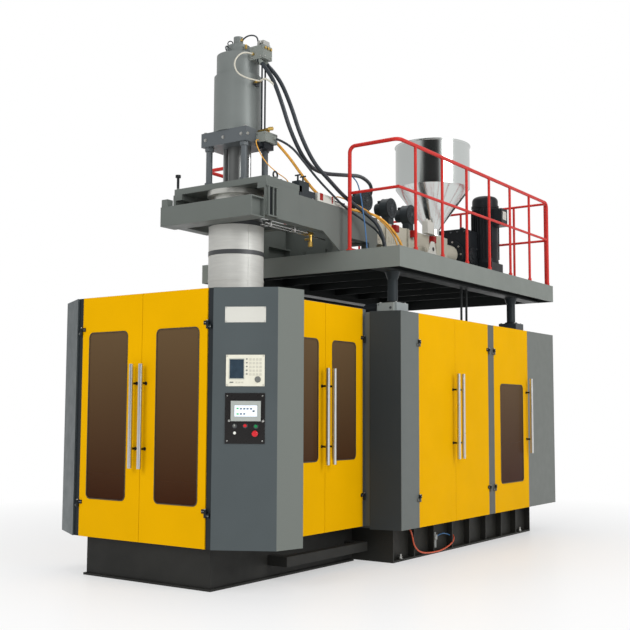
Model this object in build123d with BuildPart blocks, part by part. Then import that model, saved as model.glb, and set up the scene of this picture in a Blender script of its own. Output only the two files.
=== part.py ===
from build123d import *
import os
from math import hypot, radians, tan

os.makedirs("parts", exist_ok=True)

# Accumulator-head blow moulding machine, in millimetres.
# The origin lies on the floor under the die axis. +X is the control side, +Y the extruder end, +Z up.

# Housing sheets, doors and their fittings
SHEET = 3.0
SKIN = 2.0
DOOR_DEPTH = 32.0
DOOR_GAP = 4.0
STOP_GAP = 1.0
PANE_THICKNESS = 4.0
PANE_LAP = 18.0
WINDOW_CORNER = 45.0
HANDLE_RADIUS = 20.0
HANDLE_LENGTH = 935.0
HANDLE_OUT = 72.0
HANDLE_FROM_SEAM = 56.0
HANDLE_HEIGHT = 1488.0
STANDOFF_RADIUS = 10.0
STANDOFF_SPACING = 586.0
HINGE_HEIGHT = 70.0
HINGE_RADIUS = 12.0
HINGE_PIN_RADIUS = 6.0
HINGE_STRAP = 38.0
HINGE_STRAP_THICKNESS = 8.0
HINGE_FROM_EDGE = 10.0
HINGE_OUT = 14.0
HINGE_BOTTOM_INSET = 300.0
HINGE_TOP_INSET = 320.0
PIN_CLEARANCE = 0.1
SLIDE_CLEARANCE = 0.3

# Front enclosure: the front doors stand FRONT_REACH in front of the die axis
FRONT_REACH = 1327.0
FRONT_DOORS_HALF = 782.0
FRONT_POST_WIDTH = 65.0
FRONT_POST_RECESS = 10.0
ENCLOSURE_BOTTOM = 366.0
ENCLOSURE_HEIGHT = 2234.0
ENCLOSURE_LENGTH = 2340.0
SIDE_DOOR_X = 930.0
SIDE_DOORS_START = 900.0
SIDE_POST_DEPTH = 60.0
FRAME_TUBE = 60.0
FRONT_WINDOW = (500.0, 1540.0)
FRONT_WINDOW_INSET = 95.0
FRONT_WINDOW_LIFT = 356.0
SIDE_WINDOW = (425.0, 1180.0)
SIDE_WINDOW_INSET = 139.0
SIDE_WINDOW_LIFT = 690.0

# Corner columns: plan points of the folded sheet, from the front post outward
COLUMN_FACE = (487.0, 278.0)
COLUMN_SIDE = (64.0, 295.0)
COLUMN_PROUD = 8.0
LEFT_COLUMN_FACE = (424.0, 242.0)

# Control panels in the face of the control column, measured along the face and up from the floor
CONTROLLER_AT = (284.0, 1882.0)
CONTROLLER_SIZE = (333.0, 268.0)
CONTROLLER_DEPTH = 90.0
PANEL_AT = (284.0, 1475.0)
PANEL_SIZE = (343.0, 429.0)
PANEL_THICKNESS = 6.0
PANEL_PROUD = 3.0
CUTOUT_GAP = 0.5
CUTOUT_LAP = 12.0
SCREEN_AT = (294.0, 1537.0)
SCREEN_SIZE = (262.0, 176.0)
SCREEN_PROUD = 14.0
SCREEN_DEPTH = 60.0
DISPLAY_AT = (294.0, 1538.0)
DISPLAY_SIZE = (199.0, 99.0)
CONTROLLER_SCREEN_AT = (210.0, 1896.0)
CONTROLLER_SCREEN = (121.0, 164.0)
KEYPAD_AT = (393.0, 1806.0)
KEYPAD_RADIUS = 29.0
SELECTOR_AT = (197.0, 1412.0)
RED_BUTTON_AT = (288.0, 1413.0)
GREEN_BUTTON_AT = (380.0, 1409.0)
STOP_AT = (375.0, 1346.0)
BUTTON_RADIUS = 14.0
BUTTON_FLANGE = 4.0
BUTTON_PROUD = 9.0
SELECTOR_GRIP = 9.0
STOP_HEAD_RADIUS = 31.0
STOP_HEAD = 20.0
STOP_ROUND = 8.0
STOP_TAPER = 0.7
STOP_TRAVEL = 6.0

# Hydraulic unit inside the cabinet
TANK_HALF = 600.0
TANK_HEIGHT = 700.0
TANK_WALL = 8.0
FILLER_RADIUS = 45.0
PUMP_MOTOR_RADIUS = 170.0
PUMP_MOTOR_LENGTH = 560.0
PUMP_LENGTH = 240.0
PUMP_FOOT_INSET = 80.0

# Rear cabinet
CABINET_START = 2344.0
CABINET_CORNER = (95.0, 84.0)
CABINET_HALF_WIDTH = 1351.0
CABINET_BOTTOM = 342.0
CABINET_HEIGHT = 2229.0
CABINET_DOORS_START = 2713.0
DOOR_A_WIDTH = 829.0
DOOR_B_WIDTH = 853.0
CABINET_POST_WIDTH = 157.0
DOOR_C_WIDTH = 1009.0
CABINET_TAIL = 872.0
CABINET_WINDOW = (663.0, 1191.0)
CABINET_WINDOW_INSET = 175.0
CABINET_WINDOW_LIFT = 338.0

# Bases
FRONT_BASE_HALF = 762.0
FRONT_BASE_INSET = 98.0
REAR_BASE_INSET = 147.0
REAR_BASE_START = 2422.0
REAR_BASE_LENGTH = 3486.0
BASE_PLATE = 16.0
FLANGE_WIDTH = 160.0
FLANGE_LIP = 22.0
FLANGE_THICKNESS = 20.0
ANCHOR_RADIUS = 13.0
GUSSET_COUNT = 7
STEP_BAR = 90.0
STEP_BAR_REACH = 985.0
STEP_BAR_TOP = 215.0

# Mould clamp and blow pin inside the front enclosure
CLAMP_RAIL_X = 350.0
CLAMP_RAIL_WIDTH = 60.0
CLAMP_RAIL_HEIGHT = 50.0
CLAMP_RAIL_HALF = 800.0
PLATEN_HALF = 450.0
PLATEN_BOTTOM = 700.0
PLATEN_HEIGHT = 1350.0
PLATEN_THICKNESS = 70.0
PLATEN_OPEN = 500.0
CARRIAGE_LENGTH = 300.0
CARRIAGE_HALF_WIDTH = 75.0
MOULD_BOLT_RADIUS = 12.0
MOULD_BOLT_X = 300.0
MOULD_BOLT_Z = 450.0
CLAMP_BRACKET_Y = 860.0
CLAMP_BRACKET_THICKNESS = 40.0
CLAMP_BRACKET_HALF = 380.0
CLAMP_AXIS = 1375.0
CLAMP_CYLINDER_RADIUS = 110.0
CLAMP_CYLINDER_LENGTH = 320.0
CLAMP_ROD_RADIUS = 45.0
CLAMP_BORE = 85.0
CLAMP_HEAD = 30.0
BLOW_PIN_RADIUS = 35.0
BLOW_PIN_TOP = 950.0
BLOW_PIN_BOTTOM = 430.0
BLOW_STAND = (120.0, 620.0)

# Platform, its rails and its lift
PLATFORM_INSET = 8.0
PLATFORM_START = 2336.0
PLATFORM_LENGTH = 4151.0
PLATFORM_BOTTOM = 3028.0
PLATFORM_HEIGHT = 218.0
DECK_THICKNESS = 8.0
PLATFORM_PLATE = 12.0
RIB_COUNT = 6
RIB_RISE = 70.0
RAIL_BACK_INSET = 122.0
BACK_RAIL_INSET = 46.0
BACK_POST_X = 820.0
PIPE_DROP = 400.0
RAIL_RADIUS = 21.0
MID_RAIL_RADIUS = 16.0
RAIL_HEIGHT = 1130.0
MID_RAIL_HEIGHT = 621.0
RAIL_INSET = 24.0
RAIL_STUB = 604.0
RAIL_BEND = 70.0
RAIL_FIRST_POST = 358.0
RAIL_POST_COUNT = 6
COLUMN_INSET = 301.0
COLUMN_FRONT_Y = 2690.0
COLUMN_SPAN = 3060.0
COLUMN_RADIUS = 55.0
COLUMN_DEPTH = 1100.0
COLUMN_CAP = 85.0
SLEEVE_WALL = 22.0
SLEEVE_BLOCK = (240.0, 116.0)
PIPE_RADIUS = 14.0
PIPE_INSET = 351.0
PIPE_Y = (4410.0, 4545.0)

# Arm that carries the head
ARM_HALF = 600.0
ARM_BOTTOM = 3420.0
ARM_TOP = 3725.0
ARM_FRONT = 290.0
ARM_LENGTH = 2080.0
ARM_FLANGE = 105.0
ARM_PLATE = 20.0
CROSS_BEAM_DEPTH = 210.0
CROSS_BEAM_BOTTOM = 3400.0
CROSS_BEAM_TOP = 3600.0
CROSS_BEAM_HALF = 590.0
CROSS_BEAM_WALL = 14.0
CROSS_BEAM_INSET = 45.0
DOUBLER = 12.0
DOUBLER_LENGTH = 535.0
SEAT_LENGTH = 160.0
SEAT_INSET = 20.0
BRACE_REACH = 330.0
TIE_HEIGHT = 30.0
TIE_Y = (330.0, 1640.0)
ARM_STOP = (80.0, 80.0)
HEAD_PLATE_FRONT = 287.0
HEAD_PLATE_BACK = 315.0
HEAD_PLATE_BOTTOM = 3763.0
HEAD_PLATE_TOP = 3825.0
HEAD_BOLT_RADIUS = 22.0
HEAD_BOLT_HEIGHT = 18.0
HEAD_BOLT_COUNT = 3
HEX_SIDES = 6
JACK_BOLT_AT = (-575.0, -262.0)
JACK_BOLT_TOP = 3980.0
JACK_BOLT_RADIUS = 14.0
EYE_AT = (570.0, -98.0)
EYE_RADIUS = 34.0
EYE_BAR = 9.0

# Accumulator head and its cylinder
POST_X = 230.0
POST_Y = 170.0
POST_RADIUS = 33.0
NUT_RADIUS = 48.0
NUT_HEIGHT = 40.0
CYLINDER_PLATE = (586.0, 454.0)
CYLINDER_PLATE_BOTTOM = 4235.0
CYLINDER_PLATE_TOP = 4380.0
CYLINDER_RADIUS = 246.0
CYLINDER_STEP = 4974.0
CYLINDER_UPPER_RADIUS = 222.0
CYLINDER_SHOULDER = 5199.0
CYLINDER_BORE = 195.0
CYLINDER_END = 60.0
CAP_RADIUS = 125.0
CAP_TOP = 5307.0
PLUG_RADIUS = 50.0
PLUG_TOP = 5412.0
MANIFOLD_REACH = 385.0
MANIFOLD_WIDTH = 150.0
MANIFOLD_BOTTOM = 5105.0
MANIFOLD_TOP = 5245.0
SERVO_REACH = 120.0
SERVO_Y = (-60.0, 140.0)
SERVO_Z = (4240.0, 4345.0)
STEEL_PIPE_RADIUS = 9.0
STEEL_PIPE_AT = ((312.0, 5.0), (312.0, 58.0))
RAM_ROD_X = 150.0
RAM_ROD_RADIUS = 28.0
RAM_HEAD = 90.0
PARISON_CYLINDER_RADIUS = 92.0
PARISON_BORE = 70.0
PARISON_HEAD = 40.0
PARISON_STROKE = 20.0
CORE_ROD_RADIUS = 40.0
BODY_RADIUS = 240.0
BODY_BORE = 196.0
BODY_BOTTOM = 2330.0
BODY_FLANGE_RADIUS = 300.0
BODY_FLANGE_HEIGHT = 50.0
BODY_NECK_RADIUS = 215.0
NECK_PROUD = 20.0
CHAMBER_FLOOR = 2560.0
CHAMBER_CAP = 60.0
CHAMBER_SPACE = 40.0
MANDREL_END = 2425.0
SPIDER_HEIGHT = 80.0
SPIDER_HOLES = 8
SPIDER_HOLE_RADIUS = 24.0
FLOW_RADIUS = 150.0
FEED_CHANNEL_RADIUS = 14.0
COVER_RADIUS = 282.0
COVER_TOP = 3445.0
COVER_BAND = 3098.0
COVER_BOTTOM = 2420.0
COVER_SHEET = 3.0
COVER_SEAM_ANGLE = -22.0
COVER_SEAM = (34.0, 3.0)
COVER_RING = (2835.0, 2860.0)
BAND_HEIGHT = 46.0
BAND_PROUD = 3.0
SKIRT_TOP_RADIUS = 246.0
SKIRT_TOP = 3520.0
SKIRT_SLOTS = 8
SKIRT_SLOT = (70.0, 34.0)
DIE_RADIUS = 175.0
DIE_HEIGHT = 90.0
DIE_OPENING = 112.0
DIE_GAP = 3.0
DIE_LAND = 40.0
CORE_HEIGHT = 160.0
CORE_TOP_RADIUS = 60.0

# Extruder on the platform
EXTRUDER_X = 350.0
SCREW_AXIS = 3610.0
THROAT_Y = 3583.0
BARREL_TIP = 420.0
BARREL_RADIUS = 95.0
SCREW_RADIUS = 60.0
SCREW_PITCH = 120.0
FLIGHT_THICKNESS = 14.0
SCREW_CLEARANCE = 0.2
JACKET_HALF = 135.0
JACKET_WALL = 3.0
JACKET_EDGES = (1640.0, 2165.0, 2690.0, 3433.0)
JACKET_GAP = 30.0
SUPPORT_HALF = 90.0
SUPPORT_THICKNESS = 24.0
LANTERN_RADIUS = 130.0
HOPPER_RADIUS = 480.0
HOPPER_RIM = 4970.0
HOPPER_CONE_TOP = 4415.0
HOPPER_NECK_TOP = 3880.0
HOPPER_NECK_RADIUS = 86.0
HOPPER_SHEET = 4.0
HOPPER_FLANGE = (125.0, 16.0)
HOPPER_RIM_BEAD = 12.0
THROAT_BLOCK = (260.0, 300.0)
THROAT_TOP = 3780.0
FEED_RADIUS = 62.0
SCREW_ROOT = 42.0
FLIGHT_LAP = 1.0
SHANK_LENGTH = 100.0
SHANK_CLEARANCE = 0.05
ADAPTER_RADIUS = 52.0
ADAPTER_BORE = 24.0
ADAPTER_BEND = 95.0
GEARBOX = (460.0, 340.0)
GEARBOX_TOP = 3960.0
GEARBOX_ROUND = 24.0
GEARBOX_FOOT = (560.0, 40.0)
GEARBOX_DISC = (205.0, 60.0)
GEARBOX_START = 4083.0
MOTOR_AT = (610.0, 4603.0)
MOTOR_FOOT = 3540.0
MOTOR_RADIUS = 175.0
MOTOR_COWL = 4330.0
MOTOR_TOP = 4460.0
MOTOR_FLANGE = (180.0, 30.0)
MOTOR_BOX = (110.0, 190.0, 230.0)
BLOWER_Y = (1885.0, 2445.0, 2930.0)
BLOWER_AXIS = 3975.0
BLOWER_RADIUS = 120.0
BLOWER_WIDTH = 110.0
BLOWER_INLET = (92.0, 8.0)
BLOWER_NECK = (90.0, 120.0)
BLOWER_MOTOR = (75.0, 100.0)

# Hoses and cables that hang between the cylinder, the arm and the deck
BEND_SHARE = 0.45
FERRULE_LENGTH = 80.0
FERRULE_WALL = 5.0
HOSE_RADIUS = 21.0
SERVO_HOSE_RADIUS = 12.0
HEATER_CABLE_RADIUS = 15.0
SUPPLY_ROUTE = [
    (345.0, -40.0, 5060.0), (450.0, -20.0, 4930.0), (560.0, 0.0, 4650.0), (610.0, 90.0, 4350.0),
    (610.0, 330.0, 4100.0), (540.0, 700.0, 4040.0), (600.0, 1150.0, 4100.0), (520.0, 1600.0, 4190.0),
    (400.0, 2050.0, 4140.0), (60.0, 2300.0, 3950.0), (0.0, 2450.0, 3620.0), (0.0, 2470.0, 3296.0),
]
RETURN_ROUTE = [
    (350.0, 45.0, 5060.0), (480.0, 55.0, 4930.0), (620.0, 80.0, 4620.0), (690.0, 150.0, 4310.0),
    (700.0, 380.0, 4060.0), (690.0, 640.0, 3960.0), (645.0, 1040.0, 3830.0), (740.0, 1290.0, 3700.0),
    (860.0, 1460.0, 3540.0), (880.0, 1500.0, 3300.0),
]
SERVO_ROUTE = [
    (438.0, 90.0, 4290.0), (560.0, 150.0, 4235.0), (650.0, 300.0, 4050.0), (655.0, 530.0, 3920.0),
    (645.0, 810.0, 3815.0), (640.0, 1060.0, 3720.0), (720.0, 1330.0, 3610.0), (820.0, 1530.0, 3480.0),
    (840.0, 1580.0, 3296.0),
]
HEATER_ROUTE = [
    (370.0, 160.0, 4290.0), (420.0, 300.0, 4180.0), (500.0, 460.0, 3970.0), (555.0, 660.0, 3800.0),
    (560.0, 930.0, 3752.0), (555.0, 1230.0, 3746.0), (575.0, 1500.0, 3758.0), (650.0, 1730.0, 3738.0),
    (720.0, 1920.0, 3610.0), (770.0, 2050.0, 3450.0), (790.0, 2090.0, 3296.0),
]

# Derived places
FRONT = -FRONT_REACH
ENCLOSURE_TOP = ENCLOSURE_BOTTOM + ENCLOSURE_HEIGHT
ENCLOSURE_BACK = FRONT + ENCLOSURE_LENGTH
SIDE_DOORS_FRONT = FRONT + SIDE_DOORS_START
SIDE_DOORS_BACK = ENCLOSURE_BACK - SIDE_POST_DEPTH
SIDE_SEAM = (SIDE_DOORS_FRONT + SIDE_DOORS_BACK) / 2
POST_OUTER = FRONT_DOORS_HALF + FRONT_POST_WIDTH
STOP_X = SIDE_DOOR_X - DOOR_DEPTH - STOP_GAP
CABINET_FRONT = FRONT + CABINET_START
DOOR_A_START = FRONT + CABINET_DOORS_START
DOOR_B_START = DOOR_A_START + DOOR_A_WIDTH
CABINET_POST_START = DOOR_B_START + DOOR_B_WIDTH
DOOR_C_START = CABINET_POST_START + CABINET_POST_WIDTH
DOOR_C_END = DOOR_C_START + DOOR_C_WIDTH
CABINET_BACK = DOOR_C_END + CABINET_TAIL
CABINET_TOP = CABINET_BOTTOM + CABINET_HEIGHT
PLATFORM_FRONT = FRONT + PLATFORM_START
PLATFORM_BACK = PLATFORM_FRONT + PLATFORM_LENGTH
DECK = PLATFORM_BOTTOM + PLATFORM_HEIGHT
ARM_BACK = ARM_LENGTH - ARM_FRONT
REAR_BASE_HALF = CABINET_HALF_WIDTH - REAR_BASE_INSET
PLATFORM_HALF = CABINET_HALF_WIDTH - PLATFORM_INSET
COLUMN_X = CABINET_HALF_WIDTH - COLUMN_INSET
COLUMN_PLACES = [
    (side * COLUMN_X, FRONT + y)
    for side in (-1, 1)
    for y in (COLUMN_FRONT_Y, COLUMN_FRONT_Y + COLUMN_SPAN)
]
PIPE_PLACES = [(CABINET_HALF_WIDTH - PIPE_INSET, FRONT + y) for y in PIPE_Y]
SLEEVE_RADIUS = COLUMN_RADIUS + SLEEVE_WALL


def write(piece, name):
    """Label a finished piece and write it out."""
    piece.part.label = name
    export_step(piece.part, f"parts/{name}.step")


def write_welded(groups, name):
    """Write pieces that touch, such as welded tubes, as separate solids of one node."""
    node = Compound([solid for group in groups for solid in group.part.solids()])
    node.label = name
    export_step(node, f"parts/{name}.step")


def block(x, y, z, mode=Mode.ADD):
    """Add a box that spans the three (low, high) pairs."""
    middle = [(low + high) / 2 for low, high in (x, y, z)]
    with Locations(tuple(middle)):
        Box(x[1] - x[0], y[1] - y[0], z[1] - z[0], mode=mode)


def upright(x, y, z, radius, mode=Mode.ADD):
    """Add a cylinder along Z that spans the pair z."""
    with Locations((x, y, (z[0] + z[1]) / 2)):
        Cylinder(radius, z[1] - z[0], mode=mode)


def along_x(x, y, z, radius, mode=Mode.ADD):
    """Add a cylinder along X that spans the pair x."""
    with Locations(Location(((x[0] + x[1]) / 2, y, z), (0, 90, 0))):
        Cylinder(radius, x[1] - x[0], mode=mode)


def along_y(x, y, z, radius, mode=Mode.ADD):
    """Add a cylinder along Y that spans the pair y."""
    with Locations(Location((x, (y[0] + y[1]) / 2, z), (90, 0, 0))):
        Cylinder(radius, y[1] - y[0], mode=mode)


def both(low, high):
    """The pair low, high and its mirror image."""
    return ((low, high), (-high, -low))


def folded_sheet(points, z, mirrored=False):
    """Add a sheet folded along plan points, thick to the left of the path, or to the right if mirrored."""
    side = Side.RIGHT if mirrored else Side.LEFT
    with BuildSketch(Plane.XY.offset(z[0])) as section:
        with BuildLine():
            Polyline(*points)
            offset(amount=SHEET, side=side, kind=Kind.INTERSECTION)
        make_face()
    extrude(section.sketch, amount=z[1] - z[0])


def flat_plate(points, z, mode=Mode.ADD):
    """Add a flat plate with the plan outline given by the points."""
    with BuildSketch(Plane.XY.offset(z[0])) as section:
        with BuildLine():
            Polyline(*points, close=True)
        make_face()
    extrude(section.sketch, amount=z[1] - z[0], mode=mode)


def hinge_levels(height):
    """Where the hinges split, above the bottom edge of a door of this height."""
    return (HINGE_BOTTOM_INSET, height - HINGE_TOP_INSET)


def fixed_hinges(plane, width, height, hinge_left, recess):
    """Add the lower hinge halves with their pins, in the frame of a door that is width wide."""
    edge = -HINGE_FROM_EDGE if hinge_left else width + HINGE_FROM_EDGE
    out = -1 if hinge_left else 1
    half = HINGE_HEIGHT / 2
    for level in hinge_levels(height):
        foot = sorted((edge, edge + out * HINGE_STRAP))
        strap_middle = (sum(foot) / 2, level - half / 2, (HINGE_STRAP_THICKNESS - recess) / 2)
        with Locations(plane.from_local_coords((edge, level - half / 2, HINGE_OUT))):
            Cylinder(HINGE_RADIUS, half)
        with Locations(plane.from_local_coords((edge, level, HINGE_OUT))):
            Cylinder(HINGE_PIN_RADIUS, HINGE_HEIGHT)
        with Locations(plane.location * Location(strap_middle)):
            Box(foot[1] - foot[0], half, HINGE_STRAP_THICKNESS + recess)


def door(name, plane, width, height, hinge_left, handle_x, window=None):
    """Write a folded sheet door, its handle and its pane. Seen from outside, x is right, y up, z out."""
    edge = -HINGE_FROM_EDGE if hinge_left else width + HINGE_FROM_EDGE
    inward = 1 if hinge_left else -1
    half = HINGE_HEIGHT / 2
    with BuildPart() as leaf:
        with BuildSketch(plane.offset(-DOOR_DEPTH)):
            with Locations((width / 2, height / 2)):
                Rectangle(width, height)
                Rectangle(width - 2 * SKIN, height - 2 * SKIN, mode=Mode.SUBTRACT)
        extrude(amount=DOOR_DEPTH)
        with BuildSketch(plane.offset(-SKIN)):
            with Locations((width / 2, height / 2)):
                Rectangle(width, height)
            if window:
                with Locations((window[0] + window[2] / 2, window[1] + window[3] / 2)):
                    RectangleRounded(window[2], window[3], WINDOW_CORNER, mode=Mode.SUBTRACT)
        extrude(amount=SKIN)
        for level in hinge_levels(height):
            low = level + SLIDE_CLEARANCE
            high = level + half
            foot = plane.from_local_coords((0, low, 0))
            with BuildSketch(Plane(foot, x_dir=plane.x_dir, z_dir=plane.y_dir)):
                strap = sorted((edge, edge + inward * (HINGE_FROM_EDGE + HINGE_STRAP)))
                with Locations((sum(strap) / 2, -HINGE_STRAP_THICKNESS / 2)):
                    Rectangle(strap[1] - strap[0], HINGE_STRAP_THICKNESS)
                with Locations((edge, -HINGE_OUT)):
                    Circle(HINGE_RADIUS)
                    Circle(HINGE_PIN_RADIUS + PIN_CLEARANCE, mode=Mode.SUBTRACT)
            extrude(amount=high - low)
    write(leaf, name)

    with BuildPart() as handle:
        middle = HANDLE_HEIGHT - plane.origin.Z
        with Locations(plane.location * Location((handle_x, middle, HANDLE_OUT), (90, 0, 0))):
            Cylinder(HANDLE_RADIUS, HANDLE_LENGTH)
        for side in (-1, 1):
            place = Location((handle_x, middle + side * STANDOFF_SPACING / 2, HANDLE_OUT / 2))
            with Locations(plane.location * place):
                Cylinder(STANDOFF_RADIUS, HANDLE_OUT)
    write(handle, name + "_handle")

    if window:
        with BuildPart() as pane:
            with BuildSketch(plane.offset(-SKIN)):
                with Locations((window[0] + window[2] / 2, window[1] + window[3] / 2)):
                    RectangleRounded(window[2] + 2 * PANE_LAP, window[3] + 2 * PANE_LAP,
                                     WINDOW_CORNER + PANE_LAP)
            extrude(amount=-PANE_THICKNESS)
        write(pane, name + "_pane")


# The seven doors, each on the plane of its outer face
def front_plane(x):
    """Outer face of a front door whose lower left corner is at x."""
    return Plane((x, FRONT, ENCLOSURE_BOTTOM), x_dir=(1, 0, 0), z_dir=(0, -1, 0))


def side_plane(x, y, bottom):
    """Outer face of a door on the control side whose lower left corner is at y."""
    return Plane((x, y, bottom), x_dir=(0, 1, 0), z_dir=(1, 0, 0))


half_gap = DOOR_GAP / 2
front_width = FRONT_DOORS_HALF - DOOR_GAP
side_width = SIDE_SEAM - SIDE_DOORS_FRONT - DOOR_GAP
a_width = DOOR_A_WIDTH - DOOR_GAP
b_width = DOOR_B_WIDTH - DOOR_GAP
c_width = DOOR_C_WIDTH - DOOR_GAP
front_left = front_plane(-half_gap - front_width)
front_right = front_plane(half_gap)
side_front = side_plane(SIDE_DOOR_X, SIDE_DOORS_FRONT + half_gap, ENCLOSURE_BOTTOM)
side_rear = side_plane(SIDE_DOOR_X, SIDE_SEAM + half_gap, ENCLOSURE_BOTTOM)
door_a = side_plane(CABINET_HALF_WIDTH, DOOR_A_START + half_gap, CABINET_BOTTOM)
door_b = side_plane(CABINET_HALF_WIDTH, DOOR_B_START + half_gap, CABINET_BOTTOM)
door_c = side_plane(CABINET_HALF_WIDTH, DOOR_C_START + half_gap, CABINET_BOTTOM)

door("front_left_door", front_left, front_width, ENCLOSURE_HEIGHT, True,
     front_width - HANDLE_FROM_SEAM,
     (FRONT_WINDOW_INSET, FRONT_WINDOW_LIFT, *FRONT_WINDOW))
door("front_right_door", front_right, front_width, ENCLOSURE_HEIGHT, False,
     HANDLE_FROM_SEAM,
     (front_width - FRONT_WINDOW_INSET - FRONT_WINDOW[0], FRONT_WINDOW_LIFT, *FRONT_WINDOW))
door("side_door_front", side_front, side_width, ENCLOSURE_HEIGHT, True,
     side_width - HANDLE_FROM_SEAM,
     (SIDE_WINDOW_INSET, SIDE_WINDOW_LIFT, *SIDE_WINDOW))
door("side_door_rear", side_rear, side_width, ENCLOSURE_HEIGHT, False,
     HANDLE_FROM_SEAM,
     (side_width - SIDE_WINDOW_INSET - SIDE_WINDOW[0], SIDE_WINDOW_LIFT, *SIDE_WINDOW))
door("cabinet_door_front", door_a, a_width, CABINET_HEIGHT, True, a_width - HANDLE_FROM_SEAM)
door("cabinet_door_middle", door_b, b_width, CABINET_HEIGHT, False, HANDLE_FROM_SEAM)
door("cabinet_door_rear", door_c, c_width, CABINET_HEIGHT, True, c_width - HANDLE_FROM_SEAM,
     (CABINET_WINDOW_INSET, CABINET_WINDOW_LIFT, *CABINET_WINDOW))

# Front base: welded plate box with flanges, the clamp's rail beams, the blow pin stand and step bars
base_front = FRONT + FRONT_BASE_INSET
base_y = (base_front, PLATFORM_FRONT)
base_web = (FLANGE_THICKNESS, ENCLOSURE_BOTTOM - FLANGE_THICKNESS)
rail_top = ENCLOSURE_BOTTOM + CLAMP_RAIL_HEIGHT
stand_half = BLOW_STAND[0]
pin_bore = BLOW_PIN_RADIUS + SLIDE_CLEARANCE
with BuildPart() as front_base:
    block((-FRONT_BASE_HALF - FLANGE_LIP, FRONT_BASE_HALF + FLANGE_LIP),
          (base_front - FLANGE_LIP, PLATFORM_FRONT), (0, FLANGE_THICKNESS))
    block((-FRONT_BASE_HALF, FRONT_BASE_HALF), base_y, (base_web[1], ENCLOSURE_BOTTOM))
    block((-FRONT_BASE_HALF + FLANGE_WIDTH, FRONT_BASE_HALF - FLANGE_WIDTH),
          (base_front + FLANGE_WIDTH, PLATFORM_FRONT - FLANGE_WIDTH), (0, ENCLOSURE_BOTTOM),
          Mode.SUBTRACT)
    for x in both(FRONT_BASE_HALF - BASE_PLATE, FRONT_BASE_HALF):
        block(x, base_y, base_web)
    for y in (base_front, PLATFORM_FRONT - BASE_PLATE):
        block((-FRONT_BASE_HALF, FRONT_BASE_HALF), (y, y + BASE_PLATE), base_web)
    block((-FRONT_BASE_HALF + BASE_PLATE, FRONT_BASE_HALF - BASE_PLATE),
          (-FLANGE_WIDTH, FLANGE_WIDTH), (0, ENCLOSURE_BOTTOM))
    for x in both(CLAMP_RAIL_X - CLAMP_RAIL_WIDTH, CLAMP_RAIL_X + CLAMP_RAIL_WIDTH):
        block(x, (base_front + BASE_PLATE, PLATFORM_FRONT - BASE_PLATE), base_web)
        block(x, base_y, (base_web[1], ENCLOSURE_BOTTOM))
    for x in both(CLAMP_RAIL_X - CLAMP_RAIL_WIDTH / 2, CLAMP_RAIL_X + CLAMP_RAIL_WIDTH / 2):
        block(x, (-CLAMP_RAIL_HALF, CLAMP_RAIL_HALF), (ENCLOSURE_BOTTOM, rail_top))
    block((-stand_half, stand_half), (-stand_half, stand_half), (ENCLOSURE_BOTTOM, BLOW_STAND[1]))
    upright(0, 0, (BLOW_PIN_BOTTOM - FRAME_TUBE, BLOW_STAND[1]), pin_bore, Mode.SUBTRACT)
    bar = (STEP_BAR_TOP - STEP_BAR, STEP_BAR_TOP)
    for x in both(FRONT_BASE_HALF, STEP_BAR_REACH):
        for y in (SIDE_DOORS_FRONT, SIDE_DOORS_BACK - STEP_BAR):
            block(x, (y, y + STEP_BAR), bar)
    for x in both(STEP_BAR_REACH - STEP_BAR, STEP_BAR_REACH):
        block(x, (SIDE_DOORS_FRONT, SIDE_DOORS_BACK), bar)
    anchor_x = FRONT_BASE_HALF - FLANGE_WIDTH / 2 - BASE_PLATE
    for x in (-anchor_x, anchor_x):
        for y in (base_front + FLANGE_WIDTH / 2, PLATFORM_FRONT - FLANGE_WIDTH / 2):
            upright(x, y, (0, FLANGE_THICKNESS), ANCHOR_RADIUS, Mode.SUBTRACT)
write(front_base, "front_base")

# Rear base: two plate girders with gussets, and the end plates and cross members welded to them
rear_y = (FRONT + REAR_BASE_START, FRONT + REAR_BASE_START + REAR_BASE_LENGTH)
girder_y = (rear_y[0] + BASE_PLATE, rear_y[1] - BASE_PLATE)
girder_inner = REAR_BASE_HALF - FLANGE_WIDTH
girder_web = REAR_BASE_HALF - FLANGE_WIDTH / 2
rear_web = (FLANGE_THICKNESS, CABINET_BOTTOM - FLANGE_THICKNESS)
gusset_pitch = (REAR_BASE_LENGTH - BASE_PLATE) / (GUSSET_COUNT + 1)
with BuildPart() as girders:
    for x in both(girder_inner, REAR_BASE_HALF):
        block(x, girder_y, (0, FLANGE_THICKNESS))
        block(x, girder_y, (rear_web[1], CABINET_BOTTOM))
    for x in both(girder_web - BASE_PLATE / 2, girder_web + BASE_PLATE / 2):
        block(x, girder_y, rear_web)
    for n in range(1, GUSSET_COUNT + 1):
        y = rear_y[0] + n * gusset_pitch
        for x in both(girder_inner, REAR_BASE_HALF):
            block(x, (y, y + BASE_PLATE), rear_web)
    for x in (-REAR_BASE_HALF + FLANGE_WIDTH / 4, REAR_BASE_HALF - FLANGE_WIDTH / 4):
        for n in (0, GUSSET_COUNT):
            y = rear_y[0] + n * gusset_pitch + gusset_pitch / 2
            upright(x, y, (0, FLANGE_THICKNESS), ANCHOR_RADIUS, Mode.SUBTRACT)
with BuildPart() as girder_ties:
    for y in (rear_y[0], girder_y[1]):
        block((-REAR_BASE_HALF, REAR_BASE_HALF), (y, y + BASE_PLATE), (0, CABINET_BOTTOM))
    for n in (2, GUSSET_COUNT - 1):
        y = rear_y[0] + n * gusset_pitch
        tie_y = (y - FLANGE_WIDTH / 2, y + FLANGE_WIDTH / 2)
        block((-girder_inner, girder_inner), tie_y, (0, FLANGE_THICKNESS))
        block((-girder_inner, girder_inner), (y, y + BASE_PLATE), rear_web)
        block((-girder_inner, girder_inner), tie_y, (rear_web[1], CABINET_BOTTOM))
write_welded((girders, girder_ties), "rear_base")

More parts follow.
